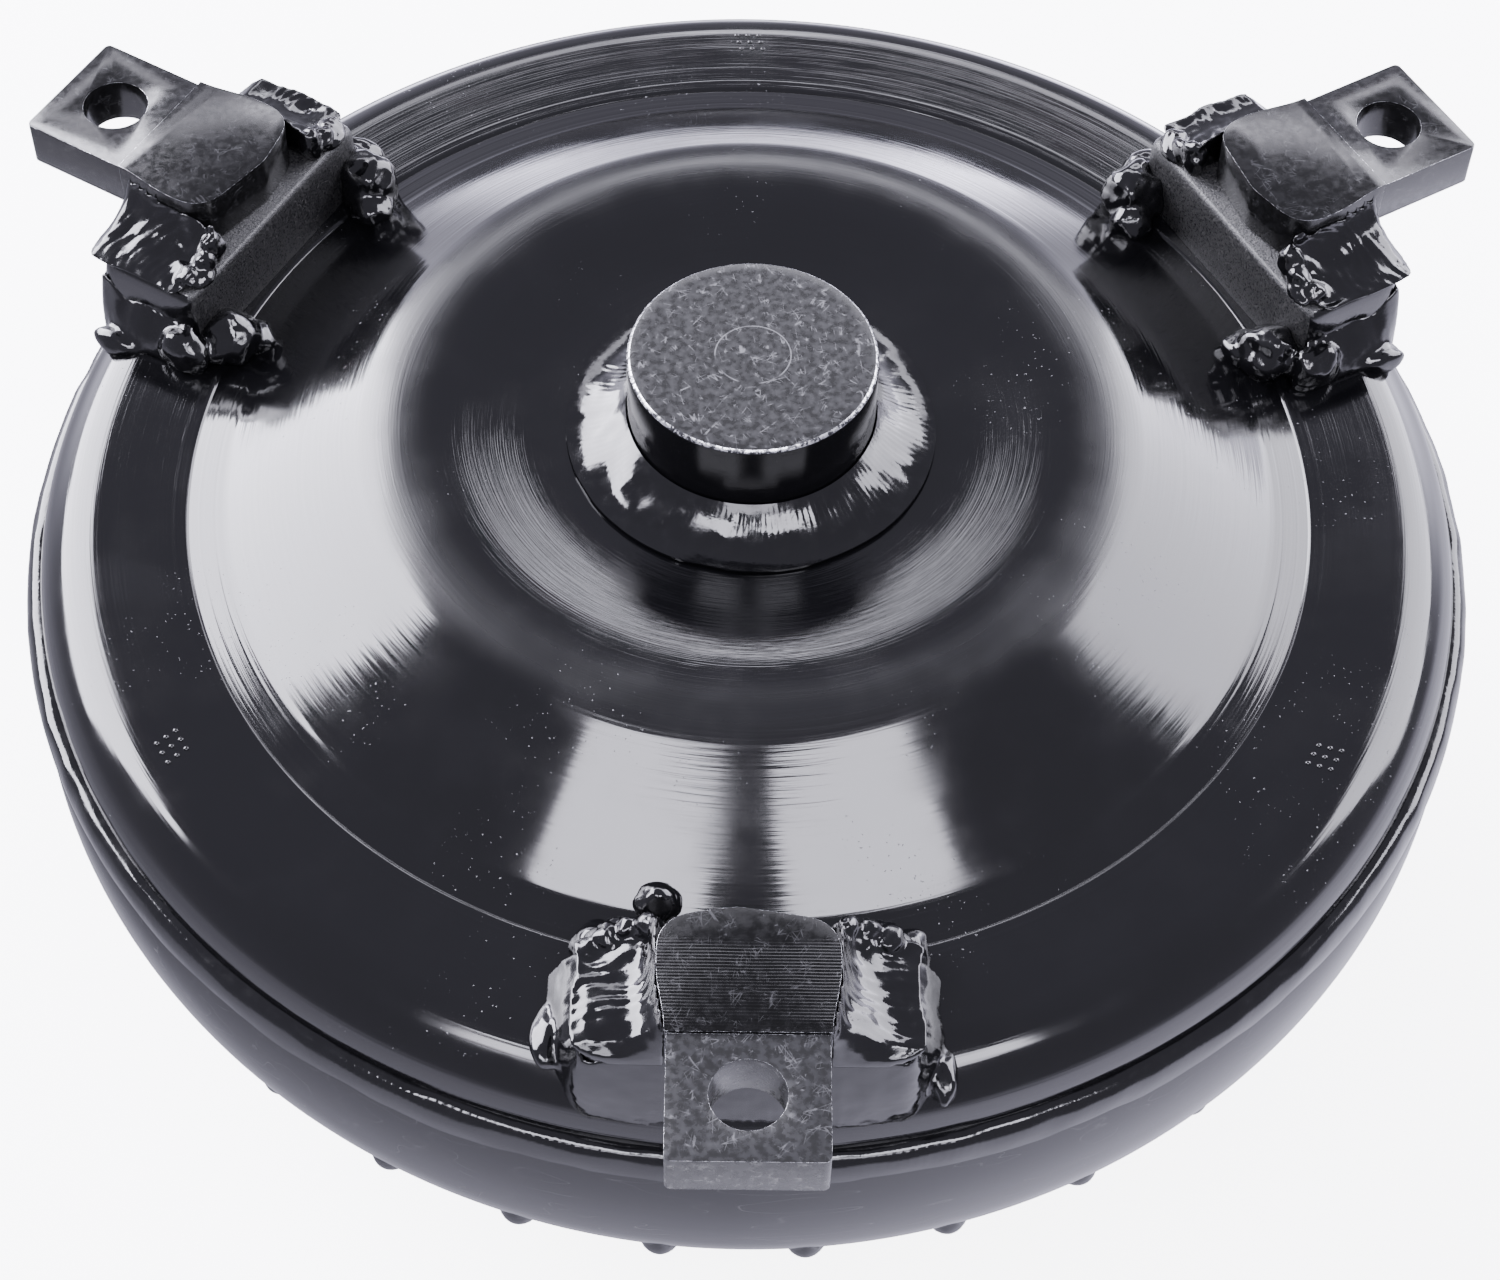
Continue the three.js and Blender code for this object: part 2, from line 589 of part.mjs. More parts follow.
function turbineShell() {
  const reach = TURBINE_REACH - TURBINE_WALL;
  const innerSquash = (TURBINE_DEPTH - TURBINE_WALL) / reach;
  const outline = [
    ...arc(TORUS_RADIUS, turbineEdge, TURBINE_REACH, 0, turbineArcEnd, 5, turbineSquash),
    [TURBINE_HUB_RADIUS + GAP, TURBINE_SEAT_Z],
    [TURBINE_HUB_RADIUS + GAP, TURBINE_SEAT_Z - TURBINE_WALL],
    ...arc(TORUS_RADIUS, turbineEdge, reach, turbineArcEnd, 0, 5, innerSquash),
  ];
  return drillRivetHoles(revolveRing(outline, ROUND));
}

// Bore with splines: a circle whose radius steps in at each tooth.
function splineBore(radius, depth, count) {
  const points = [];
  ringAngles(count).forEach((angle) => {
    const step = (2 * PI) / count;
    [[0, radius], [0.5, radius], [0.5, radius - depth], [1, radius - depth]].forEach(([part, reach]) => {
      points.push(new THREE.Vector2(reach * cos(angle + part * step), reach * sin(angle + part * step)));
    });
  });
  return new THREE.Path(points);
}

// Circle with the straight sides of a faceted ring.
const roundShape = (radius, facets) =>
  polygon(ringAngles(facets).map((angle) => [radius * cos(angle), radius * sin(angle)]));

function splinedSleeve(radius, bore, depth, count, bottom, top) {
  const ring = roundShape(radius, ROUND_MEDIUM);
  ring.holes.push(splineBore(bore, depth, count));
  return prism(ring, bottom, top - bottom);
}

function turbineHub() {
  const sleeve = splinedSleeve(
    TURBINE_HUB_RADIUS, SHAFT_SPLINE_RADIUS, SHAFT_SPLINE_DEPTH, SHAFT_SPLINE_COUNT,
    TURBINE_HUB_END, TURBINE_HUB_TOP,
  );
  const bottom = TURBINE_SEAT_Z + GAP;
  const top = bottom + TURBINE_FLANGE_WALL;
  const flange = flatRing(
    TURBINE_HUB_RADIUS - TURBINE_FLANGE_ROOT, TURBINE_FLANGE_RADIUS, bottom, top, ROUND_MEDIUM,
  );
  return drillRivetHoles(geometryOf(join([sleeve, flange])));
}

add('turbine_shell', turbineShell(), PRESSED_STEEL);
add('turbine_hub', turbineHub(), MACHINED_STEEL);

const turbineInset = TURBINE_WALL + FIN_CLEARANCE;
const turbineFin = [
  ...arc(
    TORUS_RADIUS, turbineEdge, TURBINE_REACH - turbineInset,
    FIN_LIP_ANGLE, turbineArcEnd - TURBINE_FIN_CUT, 4,
    (TURBINE_DEPTH - turbineInset) / (TURBINE_REACH - turbineInset),
  ),
  [TURBINE_FIN_RADIUS, TURBINE_SEAT_Z - TURBINE_FIN_DROP],
  ...arc(CORE_RADIUS, turbineEdge, CORE_ARC, (2 * PI) / 3, 0, 2),
];
add('turbine_fins', finnedRing(turbineFin, TURBINE_FIN_COUNT, 1, TURBINE_FIN_LEAN), PRESSED_STEEL);

const rivetTop = TURBINE_SEAT_Z + GAP + TURBINE_FLANGE_WALL + GAP;
const rivetBottom = TURBINE_SEAT_Z - TURBINE_WALL - GAP;
const rivet = revolve([
  [0, rivetBottom - RIVET_HEAD],
  [RIVET_HEAD_RADIUS - RIVET_HEAD_EDGE, rivetBottom - RIVET_HEAD],
  [RIVET_HEAD_RADIUS, rivetBottom],
  [RIVET_RADIUS, rivetBottom],
  [RIVET_RADIUS, rivetTop],
  [RIVET_HEAD_RADIUS, rivetTop],
  [RIVET_HEAD_RADIUS - RIVET_HEAD_EDGE, rivetTop + RIVET_HEAD],
  [0, rivetTop + RIVET_HEAD],
], ROUND_SMALL);
rivetPlaces.forEach(([x, y], i) => {
  add(`turbine_rivet_${i + 1}`, rivet, MACHINED_STEEL).position.set(x, y, 0);
});

// ---------- stator and one-way clutch ----------

function statorWheel() {
  const grooveTop = CLUTCH_END - GAP - CAP_WALL - GAP;
  const grooveEnd = grooveTop - SNAP_RING_WALL - SNAP_PLAY;
  const hub = revolveRing([
    [STATOR_BORE, STATOR_END],
    [STATOR_HUB_RADIUS, STATOR_END],
    [STATOR_HUB_RADIUS, STATOR_TOP],
    [STATOR_BORE, STATOR_TOP],
    [STATOR_BORE, grooveTop],
    [SNAP_GROOVE_RADIUS, grooveTop],
    [SNAP_GROOVE_RADIUS, grooveEnd],
    [STATOR_BORE, grooveEnd],
  ], ROUND_MEDIUM);
  const rimRadius = STATOR_RIM_RADIUS + STATOR_RIM_WALL;
  const rim = flatRing(STATOR_RIM_RADIUS, rimRadius, STATOR_RIM_END, STATOR_RIM_TOP, ROUND_MEDIUM);
  // Blade section, blunt at its leading edge, standing across the flow and drawn out along the radius.
  const chord = STATOR_BLADE_CHORD;
  const half = STATOR_BLADE_WALL / 2;
  const section = polygon([
    [-chord / 2, -0.3 * half],
    [-chord / 6, -0.9 * half],
    [chord / 3, -half],
    [chord / 2, 0],
    [chord / 3, half],
    [-chord / 6, 0.6 * half],
  ]);
  const length = STATOR_RIM_RADIUS - STATOR_HUB_RADIUS + 2 * STATOR_BLADE_ROOT;
  const blade = new THREE.ExtrudeGeometry(section, { depth: length, bevelEnabled: false });
  blade.rotateZ(PI / 2 + STATOR_BLADE_ANGLE);
  blade.rotateX(PI / 2);
  blade.rotateZ(PI / 2);
  blade.translate(STATOR_HUB_RADIUS - STATOR_BLADE_ROOT, 0, (STATOR_TOP + STATOR_END) / 2);
  const blades = ringAngles(STATOR_BLADE_COUNT).map((angle) => turned(blade, angle));
  return geometryOf(join([hub, rim, ...blades]));
}

const clutchStep = (2 * PI) / ROLLER_COUNT;

// Cam ring: each pocket has a ramp for its roller and a deeper seat for its spring.
function clutchOuterRace() {
  const ring = roundShape(CAM_RADIUS, ROUND_MEDIUM);
  // Angles are parts of the space between two rollers.
  const pocket = [
    [-0.42, CAM_BORE],
    [-0.38, CAM_SEAT_RADIUS],
    [-0.1, CAM_SEAT_RADIUS],
    [0.12, CAM_RAMP_RADIUS],
    [0.3, CAM_BORE],
  ];
  const points = ringAngles(ROLLER_COUNT).flatMap((angle) => {
    return pocket.map(([part, reach]) => {
      const place = angle + part * clutchStep;
      return new THREE.Vector2(reach * cos(place), reach * sin(place));
    });
  });
  ring.holes.push(new THREE.Path(points));
  return prism(ring, CLUTCH_END, CLUTCH_TOP - CLUTCH_END);
}

// Folded leaf spring, seen along the axis as a zigzag strip.
function clutchSpring() {
  const near = Array.from({ length: SPRING_FOLDS }, (_, i) => {
    return [i * SPRING_FOLD_PITCH, i % 2 ? SPRING_FOLD_REACH : -SPRING_FOLD_REACH];
  });
  const far = near.map(([x, y]) => [x, y + SPRING_WALL]).reverse();
  const height = CLUTCH_TOP - CLUTCH_END - 2 * SPRING_INSET;
  const geometry = prism(polygon([...near, ...far]), CLUTCH_END + SPRING_INSET, height);
  geometry.translate((-SPRING_FOLD_PITCH * (SPRING_FOLDS - 1)) / 2, 0, 0);
  return geometry;
}

const rollerBottom = CLUTCH_END + ROLLER_INSET;
const rollerTop = CLUTCH_TOP - ROLLER_INSET;
const rollerGeometry = cylinder(ROLLER_RADIUS, rollerBottom, rollerTop, ROUND_SMALL);
const springGeometry = clutchSpring();
const rollerCircle = INNER_RACE_RADIUS + ROLLER_RADIUS + ROLLER_CLEARANCE;

add('stator_wheel', statorWheel(), CAST_ALUMINIUM);
add('clutch_outer_race', clutchOuterRace(), MACHINED_STEEL);
ringAngles(ROLLER_COUNT).forEach((angle, i) => {
  const roller = add(`clutch_roller_${i + 1}`, rollerGeometry, MACHINED_STEEL);
  roller.position.set(rollerCircle * cos(angle), rollerCircle * sin(angle), 0);
  const springAngle = angle - 0.22 * clutchStep;
  const spring = add(`clutch_spring_${i + 1}`, springGeometry, SPRING_STEEL);
  spring.position.set(SPRING_CIRCLE * cos(springAngle), SPRING_CIRCLE * sin(springAngle), 0);
  spring.rotation.z = springAngle + PI / 2;
});

const innerRace = splinedSleeve(
  INNER_RACE_RADIUS, INNER_RACE_BORE, SHAFT_SPLINE_DEPTH, SUPPORT_SPLINE_COUNT, CLUTCH_END, CLUTCH_TOP,
);
add('clutch_inner_race', innerRace, MACHINED_STEEL);

// The two caps that close the clutch's sides.
const statorCap = (bottom, top) => flatRing(CAP_BORE, CAM_RADIUS, bottom, top, ROUND_MEDIUM);
const rearCapTop = CLUTCH_END - GAP;
const rearCapBottom = rearCapTop - CAP_WALL;
add('stator_front_cap', statorCap(CLUTCH_TOP + GAP, STATOR_TOP), CAST_ALUMINIUM);
add('stator_rear_cap', statorCap(rearCapBottom, rearCapTop), CAST_ALUMINIUM);

// Snap ring with a gap between its ends.
function snapRing() {
  const outer = SNAP_GROOVE_RADIUS - SNAP_RING_CLEARANCE;
  const half = SNAP_RING_OPENING / 2;
  const shape = new THREE.Shape();
  shape.absarc(0, 0, outer, half, 2 * PI - half, false);
  shape.absarc(0, 0, SNAP_RING_BORE, 2 * PI - half, half, true);
  const top = rearCapBottom - GAP - SNAP_PLAY / 2;
  return prism(shape, top - SNAP_RING_WALL, SNAP_RING_WALL, 12);
}

add('stator_snap_ring', snapRing(), SPRING_STEEL);

// ---------- thrust bearings ----------

// Two flat races with a cage of radial needles between them.
function thrustBearing(name, middle) {
  const raceInner = NEEDLE_RADIUS + GAP;
  const raceOuter = raceInner + BEARING_RACE;
  const facets = ROUND_MEDIUM - 4;
  const cageHalf = BEARING_CAGE / 2;
  const cage = flatRing(BEARING_BORE, BEARING_RADIUS, middle - cageHalf, middle + cageHalf, facets);
  const needle = new THREE.CylinderGeometry(NEEDLE_RADIUS, NEEDLE_RADIUS, NEEDLE_LENGTH, 6);
  needle.rotateZ(PI / 2);
  needle.translate((BEARING_BORE + BEARING_RADIUS) / 2, 0, middle);
  const needles = ringAngles(NEEDLE_COUNT, NEEDLE_START).map((angle) => turned(needle, angle));
  const upper = flatRing(BEARING_BORE, BEARING_RADIUS, middle + raceInner, middle + raceOuter, facets);
  const lower = flatRing(BEARING_BORE, BEARING_RADIUS, middle - raceOuter, middle - raceInner, facets);
  add(`${name}_bearing_upper_race`, upper, MACHINED_STEEL);
  add(`${name}_bearing_needle_cage`, geometryOf(join([cage, ...needles])), MACHINED_STEEL);
  add(`${name}_bearing_lower_race`, lower, MACHINED_STEEL);
}

thrustBearing('front', FRONT_BEARING_Z);
thrustBearing('middle', MIDDLE_BEARING_Z);
thrustBearing('rear', REAR_BEARING_Z);

export default model;
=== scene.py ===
"""Looks of the torque converter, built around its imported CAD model."""
import json
import math

import bmesh
import bpy
import numpy as np
from mathutils import Matrix, Vector


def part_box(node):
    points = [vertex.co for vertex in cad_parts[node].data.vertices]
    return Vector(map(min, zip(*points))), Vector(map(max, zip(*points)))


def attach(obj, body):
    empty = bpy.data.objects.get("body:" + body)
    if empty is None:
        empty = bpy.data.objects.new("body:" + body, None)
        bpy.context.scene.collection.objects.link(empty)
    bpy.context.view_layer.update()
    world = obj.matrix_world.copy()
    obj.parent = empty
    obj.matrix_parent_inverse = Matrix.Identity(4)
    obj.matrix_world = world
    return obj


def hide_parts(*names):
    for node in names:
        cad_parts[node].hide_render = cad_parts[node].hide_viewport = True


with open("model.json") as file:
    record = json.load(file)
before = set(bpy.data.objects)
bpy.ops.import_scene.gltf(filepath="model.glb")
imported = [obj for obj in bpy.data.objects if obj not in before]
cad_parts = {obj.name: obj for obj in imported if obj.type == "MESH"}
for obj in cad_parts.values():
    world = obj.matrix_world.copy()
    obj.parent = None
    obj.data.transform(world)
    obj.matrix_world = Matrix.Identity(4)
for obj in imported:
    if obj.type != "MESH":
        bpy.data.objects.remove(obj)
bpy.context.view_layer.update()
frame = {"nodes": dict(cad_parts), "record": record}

# ---------- dimensions, in millimetres, in the part's frame ----------

MM = 0.001
TURN = 2 * math.pi


def span(node):
    """Lowest and highest corner of a CAD node, in millimetres."""
    low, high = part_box(node)
    return low / MM, high / MM


LUG_Z = frame["record"]["mounts"][1]["pos_m"][2] / MM
BOWL_Z = LUG_Z - 9.0
ANNULUS_Z = LUG_Z - 24.15
TORUS_Z = LUG_Z - 56
LIP_Z = LUG_Z - 40
FLOOR_Z = span("impeller_hub")[0].z
TOUCH = 0.3  # gap that the CAD keeps between touching pieces

PILOT_RADIUS = span("crank_pilot")[1].x
PILOT_CHAMFER = 0.55
PILOT_FOOT_Z = span("crank_pilot")[0].z
PILOT_WELD_RADIUS = span("pilot_weld")[1].x

COVER_RADIUS = span("front_cover")[1].x
COVER_END_Z = span("front_cover")[0].z
COVER_WALL = 4.2
BOWL_FLAT_RADIUS = 33
BOWL_SIDE_RADIUS = 42
CREST_START_RADIUS = 50
CREST_INNER_ARC = 50
CREST_OUTER_ARC = 18
BOWL_SLOPE = math.radians(11.5)
CONE_SLOPE = math.radians(31)
CONE_END_RADIUS = 93.3
CONE_MARK_RADIUS = 92.5  # a place on the cone's slope, and its rise over the annulus
CONE_MARK_RISE = 2.142
CONE_SWELL = 0.13
FACET_SLOPE = math.radians(17)
FACET_END_RADIUS = 99.8
GROOVE_WIDTH = 0.9
PRESS_LINES = ((95.0, -0.03), (97.9, 0.02), (102.2, 0.04))  # radius and height of each
PRESS_LINE_WIDTH = 0.22
WAVE_HEIGHT = 0.008
WAVE_LENGTH = 6.5
WAVE_PLACE = 103
WAVE_START = 101
WAVE_END = 117
WAVE_FADE = 4
INNER_CONE_END = 97.5
INNER_CONE_START = 70
INNER_CREST_RADIUS = 59
INNER_BOWL_RADIUS = 40
INNER_BOWL_RISE = 3.5
ROLL_RADIUS = 12.3
ROLL_CENTRE_RADIUS = COVER_RADIUS - ROLL_RADIUS

SHELL_RADIUS = 130.4
SHELL_WALL = 3.5
SHELL_ARC = 38.5
SHELL_CENTRE_RADIUS = SHELL_RADIUS - SHELL_ARC
SHELL_ARC_END = math.radians(-130)
SHELL_SEAT_RADIUS = 57
SHELL_SEAT_Z = LUG_Z - 83
DIMPLE_COUNT = 31
DIMPLE_START = math.radians(-84.9)
DIMPLE_ANGLE = math.radians(-36)
DIMPLE_RADIUS = 3.4
DIMPLE_RISE = 2.3
RIM_WELD_RADIUS = span("rim_weld")[1].x

HUB_RADIUS = 23.81
HUB_BORE = 19.5
HUB_FLANGE_RADIUS = 38
HUB_FLANGE_TOP = span("impeller_hub")[1].z
HUB_SLOT_WIDTH = 10
HUB_SLOT_DEPTH = 11
HUB_WELD_RADIUS = span("hub_weld")[1].x

LUG_ANGLES = [math.radians(a) for a in (-90, 30, 150)]
BOLT_CIRCLE_RADIUS = 136.525
BOLT_HOLE_RADIUS = 6
LUG_END_RADIUS = -span("mounting_lug_1")[0].y
LUG_STEP_RADIUS = 126.3
LUG_START_RADIUS = 104.3
PAD_HALF_WIDTH = 12.6
PAD_BOTTOM_Z = span("mounting_lug_1")[0].z
BLOCK_TOP_Z = span("mounting_lug_1")[1].z
BLOCK_HALF_WIDTH = 14.2
BLOCK_STEP_HALF_WIDTH = 12.7
BLOCK_CORNER = 7
BASE_START_RADIUS = 101.5
BASE_END_RADIUS = 123.5
BASE_HALF_WIDTH = 26.5
BASE_TOP_Z = span("lug_base_1")[1].z


# ---------- noise that is the same each run ----------

def lattice(cells, seed):
    """A value from -1 to 1 for each whole-numbered point."""
    x, y, z = (cells[..., i].astype(np.int64) for i in range(3))
    mixed = (x * 73856093) ^ (y * 19349663) ^ (z * 83492791) ^ (seed * 2654435761)
    mixed = (mixed ^ (mixed >> 13)) * 1274126177
    return ((mixed ^ (mixed >> 16)) & 0xFFFF) / 32767.5 - 1


def noise(points, size, seed=0):
    """Smooth noise from -1 to 1 at an array of points, with lumps of that size."""
    scaled = np.asarray(points, float) / size
    cell = np.floor(scaled)
    part = scaled - cell
    part = part * part * (3 - 2 * part)
    total = 0
    for corner in np.ndindex(2, 2, 2):
        weight = np.prod(np.where(np.array(corner) == 1, part, 1 - part), axis=-1)
        total = total + weight * lattice(cell + corner, seed)
    return total


# ---------- mesh helpers ----------

def arc(centre, radius, start, end, steps):
    """Points [radius, height] along an arc."""
    return [
        [centre[0] + radius * math.cos(a), centre[1] + radius * math.sin(a)]
        for a in np.linspace(start, end, steps + 1)
    ]


def add(name, data):
    """A new object in the scene, with that data."""
    piece = bpy.data.objects.new(name, data)
    bpy.context.scene.collection.objects.link(piece)
    return piece


def piece_from(name, verts, faces, sharp=30):
    """A mesh object from points in millimetres, with its faces turned outwards."""
    mesh = bpy.data.meshes.new(name)
    mesh.from_pydata((np.asarray(verts) * MM).tolist(), [], faces)
    build = bmesh.new()
    build.from_mesh(mesh)
    bmesh.ops.recalc_face_normals(build, faces=build.faces)
    build.to_mesh(mesh)
    build.free()
    mesh.shade_smooth()
    mesh.set_sharp_from_angle(angle=math.radians(sharp))
    return add(name, mesh)


def sweep(name, loops, sharp=30):
    """Joins a list of loops of points, each closed on itself, and caps the two ends."""
    loops = np.asarray(loops, float)
    count, size = loops.shape[:2]
    faces = []
    for i in range(count - 1):
        a, b = i * size, (i + 1) * size
        faces += [(a + j, a + (j + 1) % size, b + (j + 1) % size, b + j) for j in range(size)]
    faces += [tuple(range(size)), tuple(range((count - 1) * size, count * size))]
    return piece_from(name, loops.reshape(-1, 3), faces, sharp)


def lathe(name, outline, turns=320, shift=None, sharp=30):
    """Body of revolution about Z. Its outline of [radius, height] ends on the axis, or is that of a ring."""
    outline = np.asarray(outline, float)
    angles = np.linspace(0, TURN, turns, endpoint=False) if np.isscalar(turns) else turns
    solid = outline[0, 0] < 1e-6
    rim = outline[1:-1] if solid else outline
    radius = np.repeat(rim[:, :1], len(angles), 1)
    height = np.repeat(rim[:, 1:], len(angles), 1)
    angle = np.repeat(np.asarray(angles)[None], len(rim), 0)
    if shift is not None:
        radius, height = shift(radius, height, angle)
    grid = np.stack([radius * np.cos(angle), radius * np.sin(angle), height], -1)
    rows, size = grid.shape[:2]
    faces = []
    for i in range(rows - 1 if solid else rows):
        a, b = i * size, (i + 1) % rows * size
        faces += [(a + j, a + (j + 1) % size, b + (j + 1) % size, b + j) for j in range(size)]
    verts = grid.reshape(-1, 3)
    if solid:
        first, last = len(verts), len(verts) + 1
        poles = [[0, 0, outline[0, 1]], [0, 0, outline[-1, 1]]]
        verts = np.vstack([verts, poles])
        faces += [(first, (j + 1) % size, j) for j in range(size)]
        end = (rows - 1) * size
        faces += [(last, end + j, end + (j + 1) % size) for j in range(size)]
    return piece_from(name, verts, faces, sharp)


def settle(piece, sharp=30):
    """Applies a piece's modifiers."""
    graph = bpy.context.evaluated_depsgraph_get()
    mesh = bpy.data.meshes.new_from_object(piece.evaluated_get(graph))
    piece.modifiers.clear()
    piece.data = mesh
    mesh.shade_smooth()
    mesh.set_sharp_from_angle(angle=math.radians(sharp))
    return piece


def combine(piece, other, operation):
    """Joins or cuts with another object, which is then removed."""
    cut = piece.modifiers.new("cut", "BOOLEAN")
    cut.operation = operation
    cut.solver = "EXACT"
    cut.object = other
    settle(piece)
    bpy.data.objects.remove(other)
    return piece


def points_of(piece):
    """The piece's vertices, in millimetres."""
    flat = np.empty(len(piece.data.vertices) * 3)
    piece.data.vertices.foreach_get("co", flat)
    return flat.reshape(-1, 3) / MM


def move_points(piece, points):
    piece.data.vertices.foreach_set("co", (np.asarray(points) * MM).ravel())
    piece.data.update()


def normals_of(piece):
    flat = np.empty(len(piece.data.vertices) * 3)
    piece.data.vertices.foreach_get("normal", flat)
    return flat.reshape(-1, 3)


def fuse(name, parts, voxel, rounds):
    """Melts overlapping parts into one skin, as weld metal does."""
    build = bmesh.new()
    for part in parts:
        build.from_mesh(part.data)
        bpy.data.objects.remove(part)
    mesh = bpy.data.meshes.new(name)
    build.to_mesh(mesh)
    build.free()
    piece = add(name, mesh)
    remesh = piece.modifiers.new("melt", "REMESH")
    remesh.mode = "VOXEL"
    remesh.voxel_size = voxel * MM
    smooth = piece.modifiers.new("smooth", "SMOOTH")
    smooth.iterations = rounds
    smooth.factor = 0.6
    return settle(piece, sharp=80)


def finish_piece(piece, materials, slot, *nodes, body="housing"):
    """Gives a piece its materials and its body, and hides the CAD nodes that it stands for."""
    if not piece.data.materials:
        for material in materials:
            piece.data.materials.append(material)
    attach(piece, body)
    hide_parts(*nodes)
    return piece


# ---------- materials ----------

def new_material(name, color, roughness, metallic=0.0):
    material = bpy.data.materials.new(name)
    material.use_nodes = True
    tree = material.node_tree
    shader = tree.nodes["Principled BSDF"]
    shader.inputs["Base Color"].default_value = (*color, 1)
    shader.inputs["Roughness"].default_value = roughness
    shader.inputs["Metallic"].default_value = metallic
    return material


class Tree:
    """Short names for the nodes that both the materials and the room are built from."""

    def __init__(self, owner):
        self.tree = owner.node_tree

    def link(self, source, target):
        self.tree.links.new(source, target)

    def math(self, operation, *values):
        node = self.tree.nodes.new("ShaderNodeMath")
        node.operation = operation
        for i, value in enumerate(values):
            if isinstance(value, (int, float)):
                node.inputs[i].default_value = value
            else:
                self.link(value, node.inputs[i])
        return node.outputs[0]

    def ramp(self, value, low, high, out_low=0.0, out_high=1.0):
        node = self.tree.nodes.new("ShaderNodeMapRange")
        node.interpolation_type = "SMOOTHSTEP"
        for i, number in enumerate((low, high, out_low, out_high)):
            node.inputs[i + 1].default_value = number
        self.link(value, node.inputs[0])
        return node.outputs[0]


class Nodes(Tree):
    """The nodes of a material."""

    def __init__(self, material):
        super().__init__(material)
        self.shader = self.tree.nodes["Principled BSDF"]
        self.place = self.tree.nodes.new("ShaderNodeTexCoord").outputs["Object"]

    def parts(self):
        node = self.tree.nodes.new("ShaderNodeSeparateXYZ")
        self.link(self.place, node.inputs[0])
        return node.outputs

    def radius(self):
        x, y, _ = self.parts()
        return self.math("SQRT", self.math("ADD", self.math("MULTIPLY", x, x), self.math("MULTIPLY", y, y)))

    def rings(self, pitch, round_scale=2.0):
        """Place with the radius stretched, so that noise on it runs in rings about Z."""
        x, y, z = self.parts()
        radius = self.radius()
        safe = self.math("MAXIMUM", radius, 1e-4)
        node = self.tree.nodes.new("ShaderNodeCombineXYZ")
        self.link(self.math("MULTIPLY", self.math("ADD", radius, z), 1 / (pitch * MM)), node.inputs[0])
        self.link(self.math("MULTIPLY", self.math("DIVIDE", x, safe), round_scale), node.inputs[1])
        self.link(self.math("MULTIPLY", self.math("DIVIDE", y, safe), round_scale), node.inputs[2])
        return node.outputs[0]

    def noise(self, size=None, vector=None, detail=2.0, roughness=0.5, distortion=0.0):
        node = self.tree.nodes.new("ShaderNodeTexNoise")
        node.inputs["Scale"].default_value = 1 / (size * MM) if size else 1.0
        node.inputs["Detail"].default_value = detail
        node.inputs["Roughness"].default_value = roughness
        node.inputs["Distortion"].default_value = distortion
        self.link(vector or self.place, node.inputs["Vector"])
        return node.outputs["Fac"]

    def mix(self, factor, first, second):
        node = self.tree.nodes.new("ShaderNodeMix")
        node.data_type = "RGBA"
        self.link(factor, node.inputs[0])
        for socket, value in ((node.inputs[6], first), (node.inputs[7], second)):
            if isinstance(value, tuple):
                socket.default_value = (*value, 1)
            else:
                self.link(value, socket)
        return node.outputs[2]

    def bump(self, height, depth, strength=1.0, below=None):
        node = self.tree.nodes.new("ShaderNodeBump")
        node.inputs["Strength"].default_value = strength
        node.inputs["Distance"].default_value = depth * MM
        self.link(height, node.inputs["Height"])
        if below is not None:
            self.link(below, node.inputs["Normal"])
        return node.outputs[0]

    def scratches(self, size, seed, width=0.006):
        """Thin wandering lines: where noise crosses its middle."""
        mapping = self.tree.nodes.new("ShaderNodeMapping")
        mapping.vector_type = "TEXTURE"
        mapping.inputs["Location"].default_value = (seed, -seed, 0.3 * seed)
        mapping.inputs["Rotation"].default_value = (0, 0, seed)
        mapping.inputs["Scale"].default_value = (1, 9, 1)
        self.link(self.place, mapping.inputs[0])
        field = self.noise(size, mapping.outputs[0], detail=1.0)
        line = self.math("ABSOLUTE", self.math("SUBTRACT", field, 0.5))
        return self.ramp(line, 0.0, width, 1.0, 0.0)

    def surface(self, color=None, roughness=None, normal=None):
        for name, value in (("Base Color", color), ("Roughness", roughness), ("Normal", normal)):
            if value is not None:
                self.link(value, self.shader.inputs[name])


BLACK = (0.0016, 0.0016, 0.0019)
DUST = (0.16, 0.16, 0.17)
BARE_STEEL = (0.52, 0.52, 0.54)


def cover_paint():
    """Deep gloss over spun and pressed steel: fine rings, dust specks and soft mottling."""
    material = new_material("black_paint", BLACK, 0.09)
    n = Nodes(material)
    fine = n.noise(vector=n.rings(0.32), detail=3.0)
    broad = n.noise(vector=n.rings(2.2, 1.2), detail=1.0)
    mottle = n.noise(14, detail=3.0)
    specks = n.ramp(n.noise(0.55, detail=1.0), 0.735, 0.79)
    patches = n.ramp(n.noise(26, detail=2.0), 0.5, 0.66)
    dust = n.math("MULTIPLY", specks, patches)
    normal = n.bump(broad, 0.04, 0.4)
    normal = n.bump(fine, 0.05, 0.6, normal)
    normal = n.bump(dust, 0.06, 0.5, normal)
    gloss = n.math("ADD", n.ramp(mottle, 0.35, 0.7, 0.075, 0.14), n.math("MULTIPLY", dust, 0.3))
    radius = n.radius()
    crest = n.math("MULTIPLY", n.ramp(radius, 54 * MM, 61 * MM), n.ramp(radius, 64 * MM, 70 * MM, 1.0, 0.0))
    gloss = n.math("ADD", gloss, n.math("MULTIPLY", crest, 0.2))
    n.surface(n.mix(n.math("MULTIPLY", dust, 0.6), BLACK, DUST), gloss, normal)
    return material


